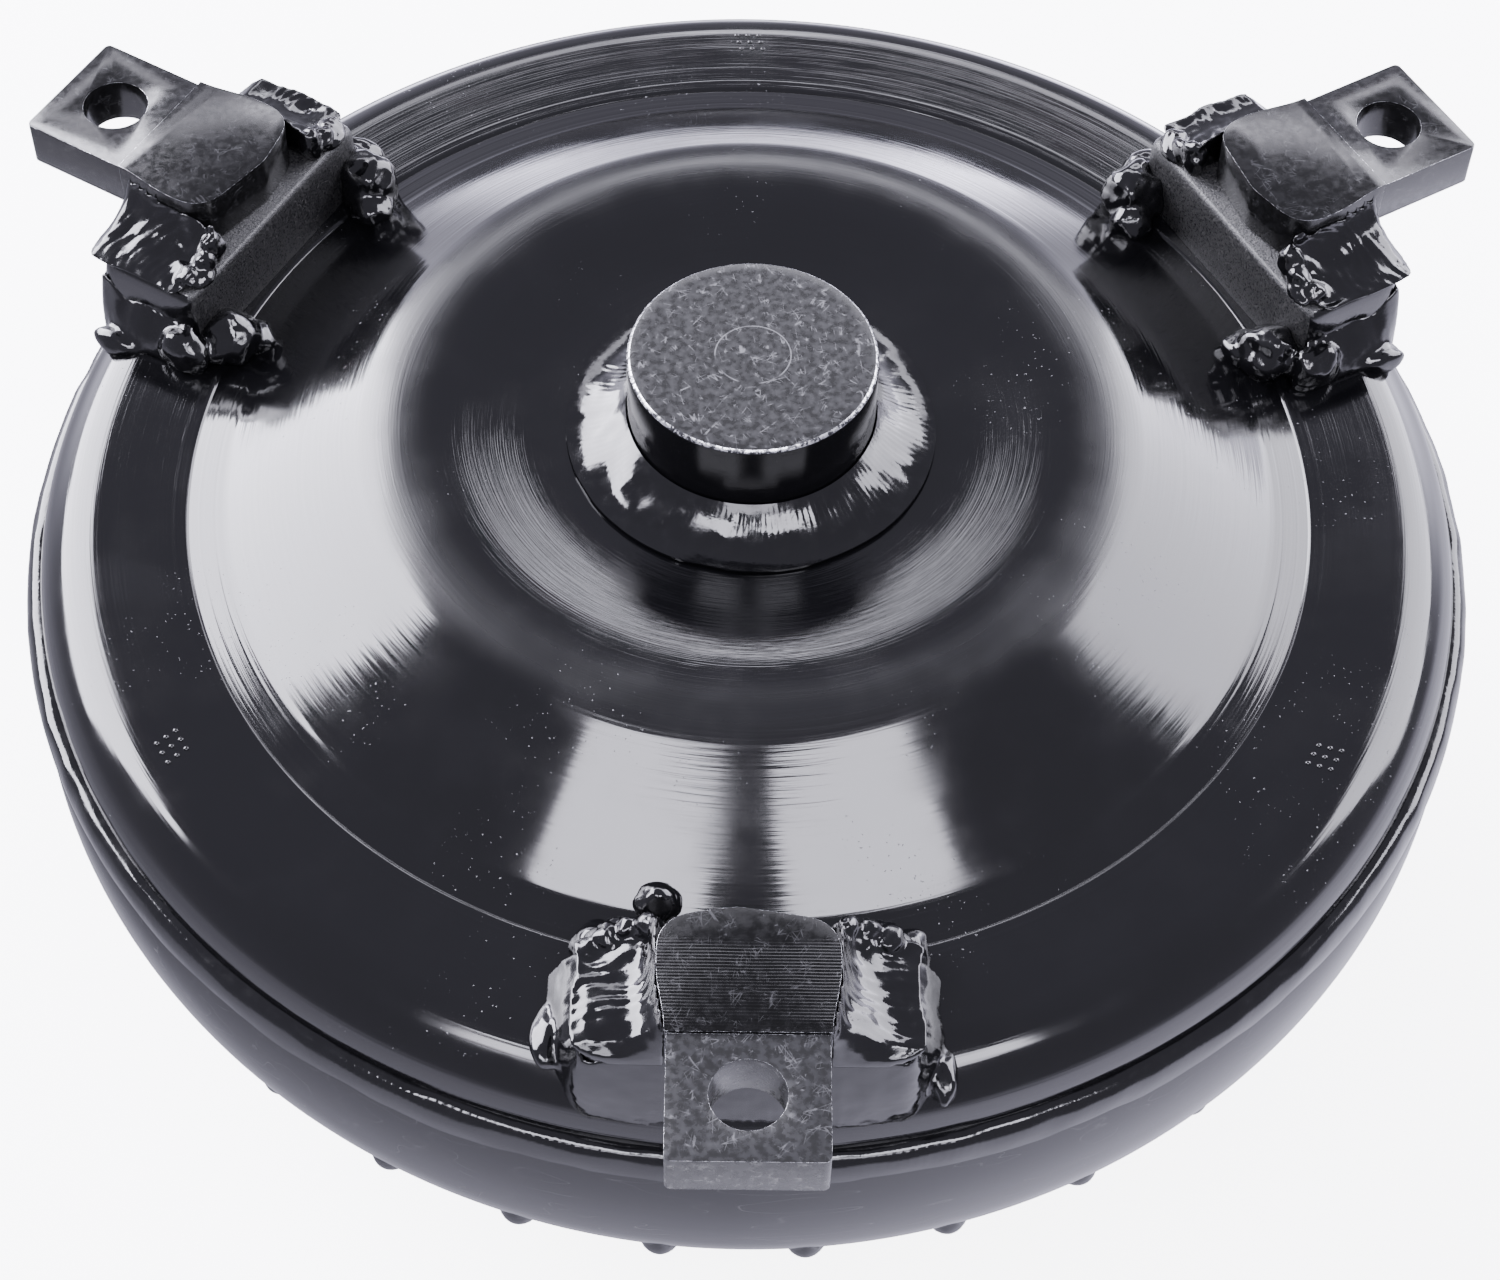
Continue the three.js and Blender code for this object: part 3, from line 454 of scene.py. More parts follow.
def plain_paint():
    """Gloss paint on the deep-drawn shell, with faint drawing lines and fine scuffs."""
    material = new_material("shell_paint", BLACK, 0.12)
    n = Nodes(material)
    fine = n.noise(vector=n.rings(0.5, 5.0), detail=3.0)
    scuffs = n.scratches(5, 1.7, 0.006)
    normal = n.bump(fine, 0.015, 0.4)
    mottle = n.ramp(n.noise(9, detail=3.0), 0.35, 0.7, 0.1, 0.17)
    gloss = n.math("ADD", mottle, n.math("MULTIPLY", scuffs, 0.15))
    n.surface(n.mix(n.math("MULTIPLY", scuffs, 0.25), BLACK, (0.05, 0.05, 0.055)), gloss, normal)
    return material


def weld_paint():
    """Gloss paint flowed over rippled metal."""
    material = new_material("painted_weld", BLACK, 0.1)
    n = Nodes(material)
    lumps = n.noise(1.6, detail=3.0, distortion=0.6)
    fine = n.noise(0.35, detail=2.0)
    normal = n.bump(lumps, 0.12, 0.25)
    normal = n.bump(fine, 0.03, 0.25, normal)
    gloss = n.ramp(n.noise(3, detail=3.0), 0.35, 0.7, 0.06, 0.17)
    n.surface(None, gloss, normal)
    return material


def plate_paint():
    """Thin paint over a rough sawn plate: grainy, half matt."""
    material = new_material("grainy_plate", BLACK, 0.3)
    n = Nodes(material)
    grain = n.noise(0.45, detail=4.0, roughness=0.7)
    normal = n.bump(grain, 0.16, 0.8)
    color = n.mix(n.ramp(grain, 0.5, 0.72), (0.007, 0.007, 0.0075), (0.045, 0.044, 0.042))
    n.surface(color, n.ramp(grain, 0.3, 0.7, 0.22, 0.45), normal)
    return material


def worn_steel(name, seed, shade=0.02, roughness=0.3, wear=0.3, gloss=0.5, lines=None, circle=None):
    """Thin black finish on a machined face, scuffed in fine crossing scratches."""
    material = new_material(name, (shade,) * 3, roughness)
    n = Nodes(material)
    marks = n.scratches(1.6, seed, 0.01)
    for i, turn in enumerate((0.6, 1.3, 1.9, 2.6)):
        marks = n.math("MAXIMUM", marks, n.scratches(1.6 + 0.3 * i, seed + turn, 0.01))
    marks = n.math("MULTIPLY", marks, n.ramp(n.noise(2.2, detail=3.0), 0.5, 0.62))
    if circle is not None:
        off = n.math("ABSOLUTE", n.math("SUBTRACT", n.radius(), circle * MM))
        ring = n.math("MULTIPLY", n.ramp(off, 0.05 * MM, 0.17 * MM, 1.0, 0.0), n.ramp(n.noise(5), 0.4, 0.55))
        marks = n.math("MAXIMUM", marks, ring)
    mottle = n.noise(1.3, detail=2.0, roughness=0.5)
    grain = n.noise(0.35, detail=2.0)
    dark = n.mix(n.ramp(mottle, 0.35, 0.7), (shade * 0.8,) * 3, (shade * 1.3, shade * 1.3, shade * 1.4))
    color = n.mix(n.math("MULTIPLY", marks, wear), dark, (0.2, 0.2, 0.21))
    normal = n.bump(grain, 0.012, 0.4)
    n.shader.inputs["Specular IOR Level"].default_value = gloss
    if lines is not None:
        start, end = lines
        along = n.math("MULTIPLY", n.parts()[1], -1.0)
        begun = n.ramp(along, start * MM, (start + 3) * MM)
        inside = n.math("MULTIPLY", begun, n.ramp(along, (end - 0.3) * MM, end * MM, 1.0, 0.0))
        wander = n.math("MULTIPLY", n.noise(9, detail=1.0), 3.0)
        wave = n.math("SINE", n.math("ADD", n.math("MULTIPLY", along, TURN / (0.58 * MM)), wander))
        normal = n.bump(n.math("MULTIPLY", wave, inside), 0.03, 0.6, normal)
    rough = n.ramp(mottle, 0.3, 0.7, roughness * 0.8, roughness * 1.3)
    n.surface(color, rough, normal)
    return material


def worn_edge():
    """Edges rubbed down to bright steel, with black left in places."""
    material = new_material("worn_edge", BARE_STEEL, 0.3, metallic=1.0)
    n = Nodes(material)
    left = n.ramp(n.noise(0.9, detail=4.0, roughness=0.65), 0.47, 0.56)
    n.surface(n.mix(left, (0.62, 0.62, 0.64), (0.06, 0.06, 0.065)), n.ramp(n.noise(0.5), 0.3, 0.7, 0.22, 0.4))
    return material


def turned_steel():
    material = new_material("machined_steel", (0.5, 0.5, 0.52), 0.28, metallic=1.0)
    n = Nodes(material)
    rings = n.noise(vector=n.rings(0.25), detail=2.0)
    color = n.mix(n.ramp(n.noise(8, detail=3.0), 0.3, 0.75), (0.42, 0.42, 0.44), (0.58, 0.58, 0.6))
    n.surface(color, n.ramp(rings, 0.3, 0.7, 0.2, 0.36), n.bump(rings, 0.01, 0.5))
    return material


def rough_metal(name, dark, light, size, roughness):
    """Pressed or cast metal with a soft mottled skin."""
    material = new_material(name, light, roughness, metallic=1.0)
    n = Nodes(material)
    mottle = n.noise(size, detail=4.0, roughness=0.65)
    n.surface(n.mix(n.ramp(mottle, 0.3, 0.7), dark, light),
              n.ramp(mottle, 0.3, 0.7, roughness * 0.8, roughness * 1.2), n.bump(mottle, 0.04, 0.5))
    return material


BLACK_PAINT = cover_paint()
SHELL_PAINT = plain_paint()
WELD_PAINT = weld_paint()
PLATE_PAINT = plate_paint()
PILOT_STEEL = worn_steel("pilot_steel", 0.7, shade=0.01, roughness=0.3, wear=0.5, circle=6.5)
LUG_STEEL = worn_steel("lug_steel", 1.9, shade=0.003, roughness=0.2, wear=0.1, gloss=0.4)
MILLED_STEEL = worn_steel("milled_lug_steel", 3.1, shade=0.002, roughness=0.2, wear=0.12, gloss=0.25,
                          lines=(LUG_START_RADIUS + 5, LUG_STEP_RADIUS))
PAD_STEEL = worn_steel("scuffed_pad_steel", 2.4, shade=0.012, roughness=0.26, wear=0.3)
WORN_EDGE = worn_edge()
TURNED_STEEL = turned_steel()
PRESSED_STEEL = rough_metal("pressed_steel", (0.28, 0.28, 0.3), (0.44, 0.44, 0.46), 3, 0.4)
CAST_ALUMINIUM = rough_metal("cast_aluminium", (0.5, 0.51, 0.52), (0.68, 0.69, 0.7), 1.4, 0.5)
SPRING_STEEL = rough_metal("spring_steel", (0.12, 0.13, 0.18), (0.3, 0.31, 0.36), 4, 0.3)
CAD_MATERIALS = {
    "black_paint": SHELL_PAINT,
    "painted_weld": WELD_PAINT,
    "worn_black_steel": LUG_STEEL,
    "machined_steel": TURNED_STEEL,
    "pressed_steel": PRESSED_STEEL,
    "cast_aluminium": CAST_ALUMINIUM,
    "spring_steel": SPRING_STEEL,
}


# ---------- front cover ----------

TURN_WIDTH = BOWL_SIDE_RADIUS - BOWL_FLAT_RADIUS
TURN_RISE = 0.5 * math.tan(BOWL_SLOPE) * TURN_WIDTH
SIDE_RISE = (CREST_START_RADIUS - BOWL_SIDE_RADIUS) * math.tan(BOWL_SLOPE)
CREST_RADIUS = CREST_START_RADIUS + CREST_INNER_ARC * math.sin(BOWL_SLOPE)
CREST_Z = BOWL_Z + TURN_RISE + SIDE_RISE + CREST_INNER_ARC * (1 - math.cos(BOWL_SLOPE))
CREST_END = CREST_RADIUS + CREST_OUTER_ARC * math.sin(CONE_SLOPE)
CONE_END_Z = ANNULUS_Z + CONE_MARK_RISE - (CONE_END_RADIUS - CONE_MARK_RADIUS) * math.tan(CONE_SLOPE)
FACET_DROP = (FACET_END_RADIUS - CONE_END_RADIUS) * math.tan(FACET_SLOPE) - (CONE_END_Z - ANNULUS_Z)


def cover_height(radius):
    """Height of the cover's outer face at any radius."""
    r = np.asarray(radius, float)
    t = np.clip((r - BOWL_FLAT_RADIUS) / TURN_WIDTH, 0, 1)
    bowl = BOWL_Z + TURN_RISE * t * t + np.clip(r - BOWL_SIDE_RADIUS, 0, None) * math.tan(BOWL_SLOPE)
    bend = np.where(r < CREST_RADIUS, CREST_INNER_ARC, CREST_OUTER_ARC)
    crest = CREST_Z - bend + np.sqrt(np.clip(bend**2 - (r - CREST_RADIUS) ** 2, 0, None))
    part = np.clip((r - CREST_END) / (CONE_END_RADIUS - CREST_END), 0, 1)
    cone = CONE_END_Z + (CONE_END_RADIUS - r) * math.tan(CONE_SLOPE) + 4 * CONE_SWELL * part * (1 - part)
    facet = CONE_END_Z - (r - CONE_END_RADIUS) * math.tan(FACET_SLOPE)
    roll = ANNULUS_Z - ROLL_RADIUS + np.sqrt(np.clip(ROLL_RADIUS**2 - (r - ROLL_CENTRE_RADIUS) ** 2, 0, None))
    lift = np.clip((r - FACET_END_RADIUS) / GROOVE_WIDTH, 0, 1)
    ring = ANNULUS_Z - FACET_DROP * (1 - lift) ** 2
    lines = sum(d * np.exp(-(((r - at) / PRESS_LINE_WIDTH) ** 2)) for at, d in PRESS_LINES)
    begin = np.clip((r - WAVE_START) / WAVE_FADE, 0, 1)
    end = np.clip((WAVE_END - r) / WAVE_FADE, 0, 1)
    waves = lines + WAVE_HEIGHT * np.sin((r - WAVE_PLACE) * TURN / WAVE_LENGTH) * begin * end
    stretches = [r < CREST_START_RADIUS, r < CREST_END, r < CONE_END_RADIUS, r < FACET_END_RADIUS,
                 r < ROLL_CENTRE_RADIUS]
    return np.select(stretches, [bowl, crest, cone, facet, ring], roll) + waves


def front_cover():
    radii = np.concatenate([
        np.linspace(0, BOWL_FLAT_RADIUS, 8, endpoint=False),
        np.linspace(BOWL_FLAT_RADIUS, BOWL_SIDE_RADIUS, 18, endpoint=False),
        np.linspace(BOWL_SIDE_RADIUS, CREST_START_RADIUS, 12, endpoint=False),
        np.linspace(CREST_START_RADIUS, CREST_END, 40, endpoint=False),
        np.linspace(CREST_END, CONE_END_RADIUS, 24, endpoint=False),
        [CONE_END_RADIUS + 0.15],
        np.linspace(CONE_END_RADIUS + 0.6, FACET_END_RADIUS, 40, endpoint=False),
        np.linspace(FACET_END_RADIUS, FACET_END_RADIUS + 1, 8, endpoint=False),
        np.linspace(FACET_END_RADIUS + 1, ROLL_CENTRE_RADIUS, 50, endpoint=False),
    ])
    outer = [[r, z] for r, z in zip(radii, cover_height(radii))]
    roll_centre = (ROLL_CENTRE_RADIUS, ANNULUS_Z - ROLL_RADIUS)
    outer += arc(roll_centre, ROLL_RADIUS, math.pi / 2, 0, 26)
    wall_radius = COVER_RADIUS - COVER_WALL
    inner = [[COVER_RADIUS, COVER_END_Z], [wall_radius, COVER_END_Z]]
    inner += arc(roll_centre, ROLL_RADIUS - COVER_WALL, 0, math.pi / 2, 8)
    cone_rise = (INNER_CONE_END - INNER_CONE_START) * math.tan(CONE_SLOPE)
    inner += [[INNER_CONE_END, ANNULUS_Z - COVER_WALL],
              [INNER_CONE_START, ANNULUS_Z - COVER_WALL + cone_rise]]
    inner += [[INNER_CREST_RADIUS, BOWL_Z - COVER_WALL + INNER_BOWL_RISE],
              [INNER_BOWL_RADIUS, BOWL_Z - COVER_WALL], [0, BOWL_Z - COVER_WALL]]
    return lathe("front_cover_skin", outer + inner, 360)


DOT_GROUPS = [math.radians(a) for a in (-149, -31, 90)]
DOT_RADIUS = 0.5
DOT_RISE = 0.35
DOT_SINK = 0.05
DOT_SIDES = 12
DOT_ROW_RADIUS = 111.5
DOT_ROW_STEP = 1.9
DOT_TURN = 0.019
DOT_SKEW = 0.004


def cover_dots():
    """Three groups of nine small raised dots near the outer edge of the annulus."""
    verts, faces = [], []
    steps = [(k, (k + 1) % DOT_SIDES) for k in range(DOT_SIDES)]
    for group in DOT_GROUPS:
        for i in range(9):
            radius = DOT_ROW_RADIUS + DOT_ROW_STEP * (i // 3)
            angle = group + (i % 3 - 1) * DOT_TURN + DOT_SKEW * (i // 3)
            x, y, z = radius * math.cos(angle), radius * math.sin(angle), ANNULUS_Z - DOT_SINK
            base = len(verts)
            for ring in range(4):
                reach = DOT_RADIUS * math.cos(ring * math.pi / 8)
                rise = DOT_RISE * math.sin(ring * math.pi / 8)
                for a in np.linspace(0, TURN, DOT_SIDES, endpoint=False):
                    verts.append([x + reach * math.cos(a), y + reach * math.sin(a), z + rise])
            verts.append([x, y, z + DOT_RISE])
            for ring in range(3):
                a, b = base + DOT_SIDES * ring, base + DOT_SIDES * (ring + 1)
                faces += [(a + k, a + on, b + on, b + k) for k, on in steps]
            last, tip = base + DOT_SIDES * 3, base + DOT_SIDES * 4
            faces += [(last + k, last + on, tip) for k, on in steps]
            faces.append(tuple(range(base, base + DOT_SIDES)))
    return piece_from("front_cover_dots", verts, faces, sharp=60)


finish_piece(front_cover(), [BLACK_PAINT], "black_paint", "front_cover")
finish_piece(cover_dots(), [BLACK_PAINT], "black_paint", "front_cover")


# ---------- crank pilot and its weld ----------

def crank_pilot():
    """A turned pin with a small chamfer round its nose."""
    nose = [[0, 0], *([r, 0] for r in np.linspace(1, PILOT_RADIUS - PILOT_CHAMFER - 0.1, 12)),
            [PILOT_RADIUS - PILOT_CHAMFER, -0.03]]
    side = [[PILOT_RADIUS - 0.05, -PILOT_CHAMFER], [PILOT_RADIUS, -PILOT_CHAMFER - 0.15],
            [PILOT_RADIUS, PILOT_FOOT_Z], [0, PILOT_FOOT_Z]]
    piece = lathe("crank_pilot_pin", nose + side, 240)
    for material in (PILOT_STEEL, WORN_EDGE, BLACK_PAINT):
        piece.data.materials.append(material)
    for face in piece.data.polygons:
        centre = face.center / MM
        if centre.z < -PILOT_CHAMFER:
            face.material_index = 2
        elif math.hypot(centre.x, centre.y) > PILOT_RADIUS - PILOT_CHAMFER:
            face.material_index = 1
    return piece


def pilot_weld():
    """Fillet bead with a lapped start on its left and ripples along it."""
    root_z, toe = span("pilot_weld")[1].z + 0.3, PILOT_WELD_RADIUS
    width = toe - PILOT_RADIUS - TOUCH
    t = np.linspace(0, 1, 26)
    face_r = toe - width * t
    face_z = PILOT_FOOT_Z + 0.6 + (root_z - PILOT_FOOT_Z - 0.6) * t**2.1
    outline = [[toe - 0.1, PILOT_FOOT_Z + 0.1], *np.stack([face_r, face_z], 1).tolist(),
               [PILOT_RADIUS + TOUCH / 2, PILOT_FOOT_Z + 0.1]]

    def ripple(radius, height, angle):
        place = np.stack([radius * np.cos(angle), radius * np.sin(angle), height], -1)
        part = np.clip((radius - PILOT_RADIUS) / width, 0, 1)
        mid = np.sin(part * math.pi)
        lap = np.exp(-(((angle - math.radians(212)) / 0.2) ** 2))
        crescents = np.sin(angle * 150 + 9 * part**2 + 2 * noise(place, 7, 3))
        lumps = noise(place, 6, 5)
        lift = mid * (0.035 * crescents * (0.5 + noise(place, 12, 9)) + 0.3 * lumps
                      + 1.3 * lap * (0.6 + lumps))
        lift += mid * 0.12 * noise(place, 2.2, 6)
        toe_wave = 0.35 * noise(np.stack([np.cos(angle) * 30, np.sin(angle) * 30, 0 * angle], -1), 7, 11)
        return np.minimum(radius + 0.6 * lift + toe_wave * part**3, PILOT_WELD_RADIUS), height + 0.8 * lift

    return lathe("pilot_weld_bead", outline, 480, ripple, sharp=60)


finish_piece(crank_pilot(), [], "worn_black_steel", "crank_pilot")
finish_piece(pilot_weld(), [WELD_PAINT], "painted_weld", "pilot_weld")


# ---------- lugs: each piece is drawn with X outwards and turned to its place ----------

def turn_to(piece, angle):
    piece.data.transform(Matrix.Rotation(angle, 4, "Z"))
    return piece


def prism(name, outline, bottom, top):
    count = len(outline)
    verts = [[x, y, z] for z in (bottom, top) for x, y in outline]
    faces = [(i, (i + 1) % count, count + (i + 1) % count, count + i) for i in range(count)]
    faces += [tuple(range(count)), tuple(range(count, 2 * count))]
    return piece_from(name, verts, faces)


def rounded(corners, radii, steps=8):
    """Outline with each corner rounded by its own radius."""
    points = []
    count = len(corners)
    for i, radius in enumerate(radii):
        here = np.array(corners[i], float)
        back = np.array(corners[i - 1], float) - here
        on = np.array(corners[(i + 1) % count], float) - here
        back /= np.linalg.norm(back)
        on /= np.linalg.norm(on)
        if radius == 0:
            points.append(here.tolist())
            continue
        reach = radius / math.tan(math.acos(np.clip(back @ on, -1, 1)) / 2)
        for t in np.linspace(0, 1, steps + 1):
            points.append(((1 - t) ** 2 * (here + back * reach) + 2 * t * (1 - t) * here
                           + t * t * (here + on * reach)).tolist())
    return points


def block_half_width(x):
    """The block widens from the step inwards."""
    t = np.clip((LUG_STEP_RADIUS - np.asarray(x, float)) / 12, 0, 1)
    return BLOCK_STEP_HALF_WIDTH + (BLOCK_HALF_WIDTH - BLOCK_STEP_HALF_WIDTH) * t * t * (3 - 2 * t)


def mounting_lug(number, skin, pad_skin):
    wide = [[x, block_half_width(x)] for x in np.linspace(LUG_STEP_RADIUS, 113, 7)]
    corners = [[x, -y] for x, y in reversed(wide)] + wide
    corners += [[LUG_START_RADIUS + 2.4, BLOCK_HALF_WIDTH], [LUG_START_RADIUS, -2],
                [LUG_START_RADIUS + 2, -BLOCK_HALF_WIDTH]]
    radii = [0] * (2 * len(wide)) + [BLOCK_CORNER, 8, BLOCK_CORNER]
    block = prism("block", rounded(corners, radii), PAD_BOTTOM_Z, BLOCK_TOP_Z)
    half, end = PAD_HALF_WIDTH, LUG_END_RADIUS
    pad_corners = [[LUG_STEP_RADIUS - 3, -half + 0.2], [end, -half + 0.2], [end, half - 0.2],
                   [LUG_STEP_RADIUS - 3, half - 0.2]]
    pad = prism("pad", rounded(pad_corners, [0, 1.2, 1.2, 0], 4), PAD_BOTTOM_Z, LUG_Z)
    hole = [[BOLT_CIRCLE_RADIUS + BOLT_HOLE_RADIUS * math.cos(a), BOLT_HOLE_RADIUS * math.sin(a)]
            for a in np.linspace(0, TURN, 64, endpoint=False)]
    combine(pad, prism("drill", hole, PAD_BOTTOM_Z - 1, LUG_Z + 1), "DIFFERENCE")
    combine(block, pad, "UNION")
    block.name = f"mounting_lug_{number}_bar"
    block.data.materials.clear()
    for material in (skin, WORN_EDGE, pad_skin):
        block.data.materials.append(material)
    for face in block.data.polygons:
        face.material_index = 2 if face.center.x / MM > LUG_STEP_RADIUS else 0
    bevel = block.modifiers.new("edges", "BEVEL")
    bevel.limit_method = "ANGLE"
    bevel.angle_limit = math.radians(40)
    bevel.width = 0.3 * MM
    bevel.segments = 2
    bevel.material = 1
    bevel.miter_outer = "MITER_ARC"
    return settle(block, sharp=35)


def lug_base(number):
    """Thick plate under a lug: rough sawn on top and inside, melted round at its outer edges."""
    loops = []
    for inset, level in ((0, 0), (0, 0.3), (0, 0.6), (0.1, 0.8), (0.45, 0.92), (1.1, 0.98), (2.2, 1.0)):
        x0, x1, half = BASE_START_RADIUS + 0.4 * inset, BASE_END_RADIUS - inset, BASE_HALF_WIDTH - inset
        ring = rounded([[x0, -half], [x1, -half], [x1, half], [x0, half]], [3, 5, 5, 3], 6)
        ring = np.array(dense(ring, 1.2))
        foot = cover_height(np.hypot(ring[:, 0], ring[:, 1])) + 0.05
        loops.append(np.column_stack([ring, foot + (BASE_TOP_Z - foot) * level]))
    size = min(len(loop) for loop in loops)
    loops = [loop[np.linspace(0, len(loop) - 1, size).round().astype(int)] for loop in loops]
    piece = sweep(f"lug_base_{number}_plate", loops, sharp=60)
    for material in (PLATE_PAINT, WELD_PAINT):
        piece.data.materials.append(material)
    for face in piece.data.polygons:
        centre = face.center / MM
        melted = centre.x > BASE_END_RADIUS - 3.5 or abs(centre.y) > BASE_HALF_WIDTH - 1
        face.material_index = int(melted)
    return piece


def dense(outline, step):
    """The closed outline with points no further apart than a step."""
    points = []
    for here, there in zip(outline, outline[1:] + outline[:1]):
        count = max(1, math.ceil(math.dist(here, there) / step))
        points += [[here[0] + (there[0] - here[0]) * i / count, here[1] + (there[1] - here[1]) * i / count]
                   for i in range(count)]
    return points


# [outwards from the fillet's start, sideways, rise over the base plate, size] of each lump
FILLET_LUMPS = [
    (0.6, 15.5, 2.6, (2.2, 2.6, 3.6)), (0.2, 18.6, 1.8, (2.0, 2.4, 2.4)), (1.0, 22.0, 1.2, (2.4, 2.4, 1.8)),
    (-0.6, 20.5, 0.6, (2.2, 3.4, 1.5)),
]


def lug_weld(number, side, seed):
    """Heavy concave fillet from a lug's side down to its base plate, lumpy where it was started."""
    start, end = LUG_START_RADIUS - 0.6, BASE_END_RADIUS + 2.2
    along = np.linspace(start, end, 90)
    turn = np.linspace(0, math.pi / 2, 40)
    loops = []
    for x in along:
        ends = min((x - start) / 2.2, (end - x) / 2.6, 1)
        shrink = 1 - (1 - math.sqrt(1 - (1 - max(ends, 0)) ** 2)) * 0.8
        root = float(block_half_width(x)) + 0.05
        top = BASE_TOP_Z + 1 + (BLOCK_TOP_Z - 0.7 - BASE_TOP_Z - 1) * shrink
        toe = BASE_HALF_WIDTH + 0.7 + 0.8 * float(noise(np.array([x, 0, seed]), 5, seed))
        toe = root + (toe - root) * (0.25 + 0.75 * shrink)
        past = max(x - BASE_END_RADIUS, 0)
        lip = BASE_TOP_Z + 0.9 - 0.5 * past
        y = toe - (toe - root) * np.cos(turn) ** 0.9
        z = top - (top - lip) * np.sin(turn) ** 0.95
        floor = BASE_TOP_Z + 0.05 - 1.2 * past
        loops.append([[x, a, b] for a, b in [*zip(y, z), (toe - 0.5, floor), (root, floor)]])
    loops = np.array(loops)
    face = loops[:, : len(turn)]
    reach = np.sin(turn)[None]
    x = face[..., 0]
    flow = np.sin((x + 4 * np.cos(turn)[None] ** 2 + 1.4 * noise(face, 6, seed)) * TURN / 1.3)
    inner = np.exp(-(((x - start) / 6) ** 2))
    lift = 0.028 * flow * (0.2 + reach**2) + 0.75 * noise(face, 8, seed + 1) * reach
    lift += 0.22 * noise(face, 3, seed + 3) * reach + inner * 0.9 * noise(face, 2.8, seed + 2)
    edge = np.minimum(1, np.minimum(np.arange(len(turn)), np.arange(len(turn))[::-1]) / 4)[None]
    face[..., 1] += lift * edge * np.cos(turn)[None]
    face[..., 2] += lift * edge * (0.3 + np.sin(turn)[None])
    loops[..., 1] *= side
    word = "left" if side > 0 else "right"
    lumps = [blob([start + dx, side * dy, BASE_TOP_Z + dz], size, seed + i)
             for i, (dx, dy, dz, size) in enumerate(FILLET_LUMPS)]
    piece = fuse(f"lug_weld_{number}_{word}_bead", [sweep("fillet", loops), *lumps], 0.38, 1)
    points = points_of(piece)
    inner = np.exp(-(((points[:, 0] - start) / 5) ** 2))
    across = (points[:, 2] - BASE_TOP_Z) / (BLOCK_TOP_Z - BASE_TOP_Z)
    flow = np.sin((0.6 * points[:, 0] + 9 * across**2 + 2.2 * noise(points, 6, seed)) * TURN / 1.8)
    strength = np.clip(0.5 + 0.7 * noise(points, 5, seed + 32), 0, 1)
    rough = 0.085 * flow * strength + 0.05 * noise(points, 1.3, seed + 30)
    rough += 0.22 * inner * noise(points, 1.5, seed + 31)
    rough *= np.clip((points[:, 2] - BASE_TOP_Z) / 1.0, 0, 1)
    moved = points + normals_of(piece) * rough[:, None]
    moved[:, 2] = np.minimum(moved[:, 2], BLOCK_TOP_Z - 0.4)
    move_points(piece, moved)
    return piece


def blob(centre, size, seed):
    """A lump of weld metal: a ball with a rough skin."""
    build = bmesh.new()
    bmesh.ops.create_icosphere(build, subdivisions=4, radius=1)
    points = np.array([v.co for v in build.verts])
    points *= 1 + 0.17 * noise(points, 0.6, seed)[:, None] + 0.035 * noise(points, 0.25, seed + 1)[:, None]
    points = points * np.asarray(size, float) + np.asarray(centre, float)
    for vert, point in zip(build.verts, points):
        vert.co = Vector(point * MM)
    mesh = bpy.data.meshes.new("blob")
    build.to_mesh(mesh)
    build.free()
    return add("blob", mesh)


def on_cover(x, y, rise=0.0):
    return [x, y, float(cover_height(math.hypot(x, y))) + rise]


def base_weld(number, lumps, seed):
    """Bead round the sides and outer edge of a base plate, with lumps where it starts and stops."""
    start, end, half = BASE_START_RADIUS + 1, BASE_END_RADIUS, BASE_HALF_WIDTH
    route = [[start, -half], [end, -half], [end, half], [start, half]]
    track = []
    for here, there in zip(route, route[1:]):
        count = math.ceil(math.dist(here, there) / 0.8)
        track += [(np.array(here) + (np.array(there) - here) * i / count) for i in range(count)]
    track.append(np.array(route[-1]))
    track = np.array(track)
    for _ in range(6):
        track[1:-1] = (track[:-2] + track[1:-1] + track[2:]) / 3
    tangent = np.gradient(track, axis=0)
    tangent /= np.linalg.norm(tangent, axis=1)[:, None]
    outwards = np.column_stack([tangent[:, 1], -tangent[:, 0]])
    loops = []
    for i, (spot, way) in enumerate(zip(track, outwards)):
        wobble = float(noise(np.array([*spot, seed]), 6, seed))
        ripple = 0.12 * math.sin(i * 0.8 * TURN / 1.9)
        outer = min(max((spot[0] - 117) / 5, 0), 1)
        width = (5.2 + 1.1 * wobble) * (1 - 0.62 * outer) + ripple
        width = min(width, max(COVER_RADIUS - 1 - math.hypot(*spot), 0.7))
        rise = 8.2 + 1.3 * wobble + 8 * outer + ripple
        floor = [float(cover_height(np.hypot(*(spot + way * d)))) for d in (0, width)]
        section = [[-0.8, floor[0] - 0.4], [-0.8, floor[0] + rise]]
        for t in np.linspace(0, 1, 9):
            bulge = 0.9 * math.sin(t * math.pi)
            section.append([width * t + bulge * 0.5,
                            floor[0] + rise + (floor[1] - 0.1 - floor[0] - rise) * t**0.85 + bulge])
        section.append([width * 0.6, floor[1] - 0.6])
        loops.append([[*(spot + way * d), z] for d, z in section])
    parts = [sweep("bead", loops)]
    parts += [blob(on_cover(x, y, rise), size, seed + i) for i, (x, y, rise, size) in enumerate(lumps)]
    piece = fuse(f"base_weld_{number}_bead", parts, 0.5, 3)
    points = points_of(piece)
    inner = np.clip((110 - points[:, 0]) / 8, 0.25, 1)
    rough = inner * (0.3 * noise(points, 2.4, seed + 20) + 0.08 * noise(points, 0.9, seed + 21))
    near_cover = np.clip((points[:, 2] - cover_height(np.hypot(points[:, 0], points[:, 1]))) / 1.0, 0, 1)
    move_points(piece, points + normals_of(piece) * (rough * near_cover)[:, None])
    return piece


